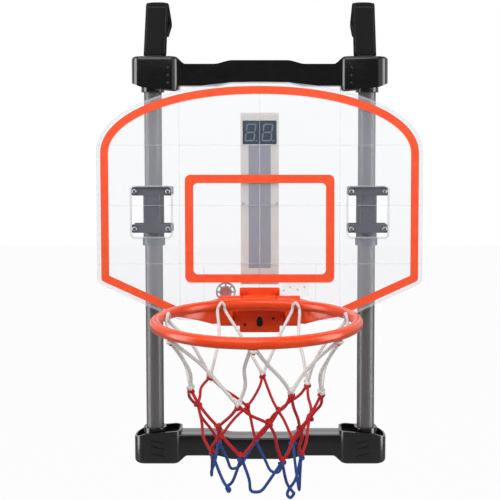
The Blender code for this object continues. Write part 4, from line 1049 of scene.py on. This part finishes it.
def makeNet():
    s = netShape
    chance = random.Random(s["seed"])
    count = s["pegs"]
    white, red, joins, loops = [[onNet(*place) for place in s[level]] for level in ("white", "red", "join", "loop")]
    whitePaths, redPaths, bluePaths = [], [], []
    under = hoopShape["peg"] + s["whiteRadius"]
    inside = hoopShape["ring"] - hoopShape["ringTube"] - s["whiteRadius"] - 0.0004
    # sideways, outward and up from the peg or the stud that carries the cord
    overPeg = ((-1.1 * under, -0.002, -0.0012), (-0.9 * under, 0.0008, 0), (0, under, 0),
               (0.9 * under, 0.0008, 0), (1.1 * under, -0.002, -0.0012))
    overStud = ((-0.0052, 0, -0.0080), (-0.0036, 0, -0.0010), (0, 0, 0.0031),
                (0.0036, 0, -0.0010), (0.0052, 0, -0.0080))
    for k in range(count):
        angle = 2 * math.pi * (k + 0.5) / count
        outward = Vector((math.sin(angle), math.cos(angle), 0))
        side = Vector((math.cos(angle), -math.sin(angle), 0))
        peg = Vector((*onRing(angle), ringZ - 0.0078))
        near, far = sorted((white[k], white[(k + 1) % count]), key=lambda knot: (knot - peg).dot(side))
        stud = Vector((*onRing(angle, inside), ringZ + hoopShape["studHigh"]))
        carrier, bends = (stud, overStud) if math.cos(angle) > 0.1 else (peg, overPeg)
        over = [carrier + side * a + outward * b + up(c) for a, b, c in bends]
        first = leg(near, over[0], chance, 0.0, 0.007)
        last = leg(over[-1], far, chance, 0.0, 0.007)
        whitePaths.append(smoothPath(first[:-1] + over + last[1:]))
    for k in range(count):
        tail = Vector((chance.uniform(-1, 1), chance.uniform(-1, 1), -3)).normalized() * 0.004
        whitePaths.append(knotPath(white[k] + up(0.0022), s["whiteKnot"], chance))
        redPaths.append(knotPath(white[k] - up(0.0018), s["redKnot"] * 0.85, chance))
        whitePaths.append(smoothPath([white[k], white[k] + tail]))
        for end in (red[k - 1], red[k]):
            redPaths.append(smoothPath(leg(white[k], end, chance, 0.002, 0.0)))
        redPaths.append(knotPath(red[k], s["redKnot"], chance))
        for end in (joins[k], joins[(k + 1) % count]):
            redPaths.append(smoothPath(leg(red[k], end, chance, 0.0, 0.0)))
        redPaths.append(knotPath(joins[k] + up(0.002), s["redKnot"] * 0.75, chance))
        redPaths.append(smoothPath([joins[k], joins[k] + tail * 1.3]))
        bluePaths.append(knotPath(joins[k] - up(0.0015), s["blueKnot"], chance))
        start, low, end = joins[k], loops[k], joins[(k + 1) % count]
        left, right = [knot.lerp(low, 0.5) - up(0.004) for knot in (start, end)]
        outward = Vector((low.x, low.y - ringY, 0)).normalized()
        flat = Vector((-outward.y, outward.x, 0)) * 0.006
        flat = flat if (end - start).dot(flat) > 0 else -flat
        if k in s["eyes"]:  # the cord crosses itself in a small eye
            rise = up(0.0042)
            turn = [low + rise - flat * 0.2, low + flat * 0.6, low - rise * 0.9,
                    low - flat * 0.6, low + rise + flat * 0.2]
            turn = [point + outward * 0.0016 * (j - 2) for j, point in enumerate(turn)]
            bluePaths.append(smoothPath([start, left, *turn, right, end], 0.0014))
            continue
        turn = [low - flat + up(0.002), low, low + flat + up(0.002)]
        bluePaths.append(smoothPath([start, left, *turn, right, end]))
    for name, paths, size, material in (("netWhite", whitePaths, "whiteRadius", whiteCord),
                                        ("netRed", redPaths, "redRadius", redCord),
                                        ("netBlue", bluePaths, "blueRadius", blueCord)):
        piece = cordPiece(name, paths, s[size])
        finishPiece(piece, name, "rim", material, ["net_" + name[3:].lower()], 0)
        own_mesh(piece)
        print(name, "cord in m", round(sum((b - a).length for path in paths for a, b in zip(path, path[1:])), 2))


makeNet()
print("net made")


hookShape = {
    "x": tubeX - 0.0025, "path": ((-0.025, -0.0785), (0.0066, 0.0042), (0.0474, -0.020), (0.012, -0.037)),
    "start": 0.0145, "end": 0.002, "bend": 0.0045, "half": 0.0142,
    "pad": 0.0025, "border": 0.0035, "edge": 0.0016,  # thickness at the middle, width and thickness of the sewn edge
    "seams": (0.0645, 0.0668), "stitch": 0.0032, "stitchGap": 0.0012, "thread": 0.00035,
}


def hookLine():
    s = hookShape
    corners = [Vector(p) for p in s["path"]]
    first = corners[0] + (corners[1] - corners[0]).normalized() * s["start"]
    last = corners[-1] + (corners[-1] - corners[-2]).normalized() * s["end"]
    line = [first]
    for i in (1, 2):
        a = (corners[i - 1] - corners[i]).normalized()
        b = (corners[i + 1] - corners[i]).normalized()
        half = a.angle(b) / 2
        reach = s["bend"] / math.tan(half)
        centre = corners[i] + (a + b).normalized() * s["bend"] / math.sin(half)
        spoke = corners[i] + a * reach - centre
        sweep = spoke.angle_signed(corners[i] + b * reach - centre)
        line += [centre + Matrix.Rotation(-sweep * k / 12, 2) @ spoke for k in range(13)]
    line.append(last)
    dense = []
    for a, b in zip(line, line[1:]):
        count = max(1, round((b - a).length / 0.0012))
        dense += [a.lerp(b, k / count) for k in range(count)]
    return dense + [last]


def padProfile(across):
    s = hookShape
    inner = s["half"] - s["border"]
    reach = abs(across)
    if reach <= inner:
        return s["edge"] + (s["pad"] - s["edge"]) * max(0.0, 1 - (reach / inner) ** 3.2) ** 0.6
    share = (reach - inner) / s["border"]
    return s["edge"] * math.sqrt(max(0.02, 1 - max(0.0, share - 0.55) ** 2 * 4.6)) + 0.0001 * math.sin(share * 9)


def makeHook(side, word):
    s = hookShape
    line = hookLine()
    lengths = [0.0]
    for a, b in zip(line, line[1:]):
        lengths.append(lengths[-1] + (b - a).length)
    total = lengths[-1]
    steps = 26
    shape = bmesh.new()
    layer = shape.loops.layers.uv.new("cord")
    rows = []
    normals = []
    for i, point in enumerate(line):
        ahead = (line[min(i + 1, len(line) - 1)] - line[max(i - 1, 0)]).normalized()
        normal = Vector((-ahead.y, ahead.x))
        normals.append(normal)
        ends = min(lengths[i], total - lengths[i])
        close = math.sqrt(min(1.0, max(0.06, ends / 0.006)))
        row = []
        for k in range(steps * 2):
            share = k / steps if k < steps else 2 - k / steps
            across = -s["half"] + 2 * s["half"] * share
            thick = s["edge"] * 0.8 + (padProfile(across) - s["edge"] * 0.8) * close
            way = 1 if k < steps else -1
            if k in (0, steps):
                way = 0
            lift = normal * thick * way
            vertex = shape.verts.new((side * s["x"] + across, point.x + lift.x, point.y + lift.y))
            row.append((vertex, across, lengths[i]))
        rows.append(row)
    for row, ahead in zip(rows, rows[1:]):
        for k in range(steps * 2):
            n = (k + 1) % (steps * 2)
            face = shape.faces.new((row[k][0], row[n][0], ahead[n][0], ahead[k][0]))
            face.smooth = True
            for loop, (vertex, across, along) in zip(face.loops, (row[k], row[n], ahead[n], ahead[k])):
                loop[layer].uv = (across, along)
    shape.faces.new([item[0] for item in rows[0]][::-1])
    shape.faces.new([item[0] for item in rows[-1]])
    bmesh.ops.recalc_face_normals(shape, faces=shape.faces)
    pad = linkMesh("hookPad" + word, shape)
    body = "hook_" + word.lower()
    finishPiece(pad, "hookPad" + word, body, webbing, ["hook_pad_" + word.lower()], 0)

    def pointAt(across, along, bow, way):
        # a point of the thread over the sleeve, across it and along it
        i = min(range(len(lengths)), key=lambda j: abs(lengths[j] - along))
        rise = padProfile(across) + s["thread"] * (0.9 * math.sin(math.pi * bow) - 0.2)
        point = line[i] + normals[i] * rise * way
        return Vector((side * s["x"] + across, point.x, point.y))

    paths = []
    pitch = s["stitch"] + s["stitchGap"]
    bows = [k / 5 for k in range(6)]
    for way in (-1, 1):
        for lane in (-1, 1):
            across = lane * (s["half"] - s["border"] * 0.72)
            at = 0.004
            while at + s["stitch"] < total - 0.003:
                path = [pointAt(across, at + s["stitch"] * bow, bow, way) for bow in bows]
                path = [p for j, p in enumerate(path) if j == 0 or (p - path[j - 1]).length > 1e-5]
                if len(path) > 1:
                    paths.append(path)
                at += pitch
        for at in s["seams"]:  # a double row runs across below the fold
            across = -s["half"] + s["border"]
            while across + s["stitch"] < s["half"] - s["border"] * 0.8:
                paths.append([pointAt(across + s["stitch"] * bow, at, bow, way) for bow in bows])
                across += pitch
    stitches = cordPiece("hookStitches" + word, paths, s["thread"], 6)
    finishPiece(stitches, "hookStitches" + word, body, threadCord, angle=0)


for side, word in ((-1, "Left"), (1, "Right")):
    makeHook(side, word)
print("hooks made")


displayShape = {
    "digitWidth": 0.0125, "digitHeight": 0.0220, "bar": 0.0018, "gap": 0.00025, "lean": 0.12, "rise": 0.00018,
    "spacing": 0.0104, "shift": -0.0008, "dot": 0.001, "dotAside": 0.0022,
}


def makeDisplay():
    s = displayShape
    low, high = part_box("led_display")
    centreZ = (low.z + high.z) / 2
    block = addBlock("block", tuple(low), tuple(high), 0.0006, 3)
    finishPiece(block, "ledBlock", "board", displayGlass, ["led_display"])

    def segment(reach):
        return [(-reach, 0), (-reach + bar, bar), (reach - bar, bar),
                (reach, 0), (reach - bar, -bar), (-reach + bar, -bar)]

    half, tall, bar = s["digitWidth"] / 2, s["digitHeight"] / 2, s["bar"] / 2
    flat, upright = segment(half - bar - s["gap"]), segment((tall - bar) / 2 - s["gap"])
    digit = [[(u, z + v) for u, v in flat] for z in (tall - bar, 0, -tall + bar)]
    digit += [[(x - v, z + u) for u, v in upright] for x in (-half + bar, half - bar) for z in (-tall / 2, tall / 2)]
    digit.append(circleOutline(half + s["dotAside"], -tall + bar, s["dot"], 20))
    plates = []
    for middle in (-s["spacing"], s["spacing"]):
        for outline in digit:
            leaning = [(middle + s["shift"] + u + v * s["lean"], centreZ + v) for u, v in outline]
            plates.append(addPlate("segment", "y", leaning, low.y - s["rise"], low.y + 0.0002))
    finishPiece(joinAs("displaySegments", plates), "displaySegments", "board", segmentResin, angle=0)


trayShape = {
    "half": 0.0130, "low": -0.3270, "high": -0.1768, "thick": 0.0012, "proud": 0.00022, "lip": 0.0006,
    "ribHalf": 0.0007, "ribThick": 0.001, "ribShort": 0.0008, "screwX": 0.0205, "screwZ": -0.248,
}


def makeTray():
    s = trayShape
    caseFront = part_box("score_case")[0].y
    front = caseFront - s["proud"]
    rear = front + s["thick"]
    lip, short = s["lip"], s["ribShort"]
    tray = addBlock("tray", (-s["half"], front, s["low"]), (s["half"], rear, s["high"]), 0.0002, 1)
    rib = addBlock("rib", (-s["ribHalf"], front - 0.00004, s["low"] + short),
                   (s["ribHalf"], front + s["ribThick"], s["high"] - short), 0.0001, 1)
    edge = addBlock("edge", (-s["half"] - lip, front + 0.0001, s["low"] - lip),
                    (s["half"] + lip, rear, s["high"] + lip), 0.0001, 1)
    finishPiece(joinAs("cellTray", [tray, edge]), "cellTray", "board", trayPlastic)
    # the rib's light colour is a painted highlight
    finishPiece(rib, "trayRib", "board", ribHighlightPlastic)
    master = makeScrewMaster()
    small = Matrix.Diagonal((0.75, 0.4, 0.75, 1))
    heads = [copyTo(master, "head", Matrix.Translation((x, caseFront - 0.0002, s["screwZ"])) @ small)
             for x in (-s["screwX"], s["screwX"])]
    bpy.data.objects.remove(master, do_unlink=True)
    finishPiece(joinAs("caseFrontScrews", heads), "caseFrontScrews", "board", brightSteel)


speakerShape = {
    # outside and inside radius, depth
    "outer": (0.0105, 0.0101, 0.0022), "inner": (0.0076, 0.0066, 0.0024), "clip": (0.0122, 0.01085, 0.0036),
    "spokes": 8, "spokeHalf": 0.0010, "spokeFrom": 0.0072, "spokeTo": 0.0103, "spokeDeep": 0.002,
    "cone": 0.0067, "throat": 0.0022, "coneDeep": 0.0022, "cap": 0.0026, "magnet": 0.0058,
}


def makeSpeaker():
    s = speakerShape
    x, z = boardShape["speaker"]
    near = boardBack + 0.0002

    def ring(name, edge, steps):
        outside, inside, deep = s[name]
        lines = [circleOutline(x, z, radius, 64) for radius in (outside, inside)]
        return addBand(name, "y", *lines, near, near + deep, edge, steps)

    parts = [ring("outer", 0.0001, 1), ring("inner", 0.0002, 1)]
    for k in range(s["spokes"]):
        spoke = addBlock("spoke", (-s["spokeHalf"], near + 0.0001, s["spokeFrom"]),
                         (s["spokeHalf"], near + s["spokeDeep"], s["spokeTo"]), 0.0002, 1)
        spoke.data.transform(Matrix.Translation((x, 0, z)) @ Matrix.Rotation(2 * math.pi * k / s["spokes"], 4, "Y"))
        parts.append(spoke)
    finishPiece(joinAs("speakerFrame", parts), "speakerFrame", "board", frameGrey)
    clearSelection()
    bpy.ops.mesh.primitive_cone_add(vertices=64, radius1=s["cone"], radius2=s["throat"], depth=s["coneDeep"],
                                    location=(x, near + 0.0014, z), rotation=(-math.pi / 2, 0, 0))
    cone = settle(bpy.context.object)
    clearSelection()
    bpy.ops.mesh.primitive_uv_sphere_add(segments=40, ring_count=20, radius=s["cap"],
                                         location=(x, near + s["coneDeep"], z), scale=(1, 0.5, 1))
    cap = settle(bpy.context.object)
    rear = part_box("speaker")[1].y
    magnet = addRod("magnet", (x, near + s["coneDeep"], z), (x, rear, z), s["magnet"], 48, 0.0004, 2)
    finishPiece(joinAs("speakerCone", [cone, cap, magnet]), "speakerCone", "board", conePaper, ["speaker"])
    finishPiece(ring("clip", 0.0003, 2), "speakerClip", "board", frameGrey, ["speaker_retainer"])


sensorShape = {
    "dots": ((0.0374, -0.3515), (0.0551, -0.3515), (0.0297, -0.3556), (0.0467, -0.3544)), "dot": 0.0009,
}


def makeSensorDots():
    s = sensorShape
    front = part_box("sensor_board")[0].y
    dots = [addRod("dot", (x, front - 0.0001, z), (x, front + 0.0008, z), s["dot"], 20, 0.0001, 1)
            for x, z in s["dots"]]
    finishPiece(joinAs("sensorPads", dots), "sensorPads", "board", frameGrey)


makeDisplay()
makeTray()
makeSpeaker()
makeSensorDots()
print("score unit, speaker and sensor made")


finishes = {
    "tube_left": tubeSteel, "tube_right": tubeSteel,
    "door_hook_left": coatedSteel, "door_hook_right": coatedSteel,
    "hook_pin_left": brightSteel, "hook_pin_right": brightSteel, "hinge_pin": brightSteel,
    "battery_spring": brightSteel, "battery_contact": brightSteel,
    "clamp_front_left": clampPlastic, "clamp_front_right": clampPlastic,
    "clamp_rear_left": clampPlastic, "clamp_rear_right": clampPlastic,
    "score_case": casePlastic, "case_cover": casePlastic, "battery_door": casePlastic,
    "power_switch": blackPlastic, "display_board": greenBoard, "sensor_board": circuitBoard,
    "battery_cell_1": cellSleeve, "battery_cell_2": cellSleeve, "battery_cell_3": cellSleeve,
}
for node, material in finishes.items():
    dress(node, material)


cameraShape = {"place": (0.0273, -1.1942, -0.1661), "pitch": 3.232, "lens": 67.59, "shift": (-0.0638, -0.12)}
camera = bpy.data.cameras.new("camera")
camera.lens = cameraShape["lens"]
camera.sensor_width = 36
camera.shift_x, camera.shift_y = cameraShape["shift"]
camera.clip_start = 0.01
holder = linkNew("camera", camera)
holder.location = cameraShape["place"]
holder.rotation_euler = (math.radians(90 - cameraShape["pitch"]), 0, 0)
bpy.context.scene.camera = holder

lampShape = {  # place, width, height, power
    "key": ((-0.4, -1.05, 1.0), 1.7, 1.7, 27), "fill": ((1.3, -1.4, 0.3), 1.6, 1.6, 9),
    "rear": ((0.1, 1.5, 1.0), 2.0, 2.0, 12),
    "left strip": ((-1.2, -0.32, -0.25), 0.6, 1.6, 22), "right strip": ((1.25, -0.32, -0.25), 0.6, 1.6, 22),
}
lampAim = (0, -0.08, -0.3)
for name, (place, width, height, power) in lampShape.items():
    lamp = bpy.data.lights.new(name, "AREA")
    lamp.shape = "RECTANGLE"
    lamp.size = width
    lamp.size_y = height
    lamp.energy = power
    stand = linkNew(name, lamp)
    stand.location = place
    stand.rotation_euler = (Vector(lampAim) - Vector(place)).to_track_quat("-Z", "Y").to_euler()
    stand.visible_diffuse = "strip" not in name  # the strips only make the long highlights

stageShape = {"soft": 0.44, "dim": 0.12, "floorZ": -1.0, "floorSize": 12, "floorWhite": 0.965}
world = bpy.data.worlds.new("studio")
world.use_nodes = True
bpy.context.scene.world = world
soft = world.node_tree.nodes["Background"]
soft.inputs["Color"].default_value = colour("f4f6f9")
soft.inputs["Strength"].default_value = stageShape["soft"]
# the white backdrop is seen directly, through clear parts and in reflections of what lies behind
dim = addNode(world, "ShaderNodeBackground", {"Color": colour("ffffff"), "Strength": stageShape["dim"]}).outputs[0]
white = addNode(world, "ShaderNodeBackground", {"Color": colour("ffffff")}).outputs[0]
seen = addNode(world, "ShaderNodeLightPath").outputs
way = addNode(world, "ShaderNodeSeparateXYZ", {0: addNode(world, "ShaderNodeTexCoord").outputs["Generated"]})
behind = addNode(world, "ShaderNodeMapRange", {"Value": way.outputs["Y"], "From Min": -0.1, "From Max": 0.5})
mirrored = addNode(world, "ShaderNodeMixShader", {0: behind.outputs[0], 1: dim, 2: white}).outputs[0]
glossy = addNode(world, "ShaderNodeMixShader", {0: seen["Is Glossy Ray"], 1: soft.outputs[0], 2: mirrored}).outputs[0]
direct = addNode(world, "ShaderNodeMath", {0: seen["Is Camera Ray"], 1: seen["Is Transmission Ray"]},
                 operation="MAXIMUM").outputs[0]
whole = addNode(world, "ShaderNodeMixShader", {0: direct, 1: glossy, 2: white}).outputs[0]
world.node_tree.links.new(whole, world.node_tree.nodes["World Output"].inputs["Surface"])

clearSelection()
bpy.ops.mesh.primitive_plane_add(size=stageShape["floorSize"], location=(0, 0, stageShape["floorZ"]))
floor = bpy.context.object
floor.name = "floor"
# matt pale floor paint, lifted nearly to white where it is seen, so that its edge melts into the backdrop
floorPaint, floorShader = startMaterial("paleFloorPaint", "b8b8b8", 0.8)
seen = addNode(floorPaint, "ShaderNodeLightPath").outputs
direct = addNode(floorPaint, "ShaderNodeMath", {0: seen["Is Camera Ray"], 1: seen["Is Transmission Ray"]},
                 operation="MAXIMUM").outputs[0]
share = addNode(floorPaint, "ShaderNodeMath", {0: direct, 1: stageShape["floorWhite"]}, operation="MULTIPLY").outputs[0]
pale = addNode(floorPaint, "ShaderNodeEmission").outputs[0]
mixed = addNode(floorPaint, "ShaderNodeMixShader", {0: share, 1: floorShader.outputs[0], 2: pale}).outputs[0]
floorPaint.node_tree.links.new(mixed, floorPaint.node_tree.nodes["Material Output"].inputs["Surface"])
floor.data.materials.append(floorPaint)
bpy.context.scene.view_settings.view_transform = "Standard"
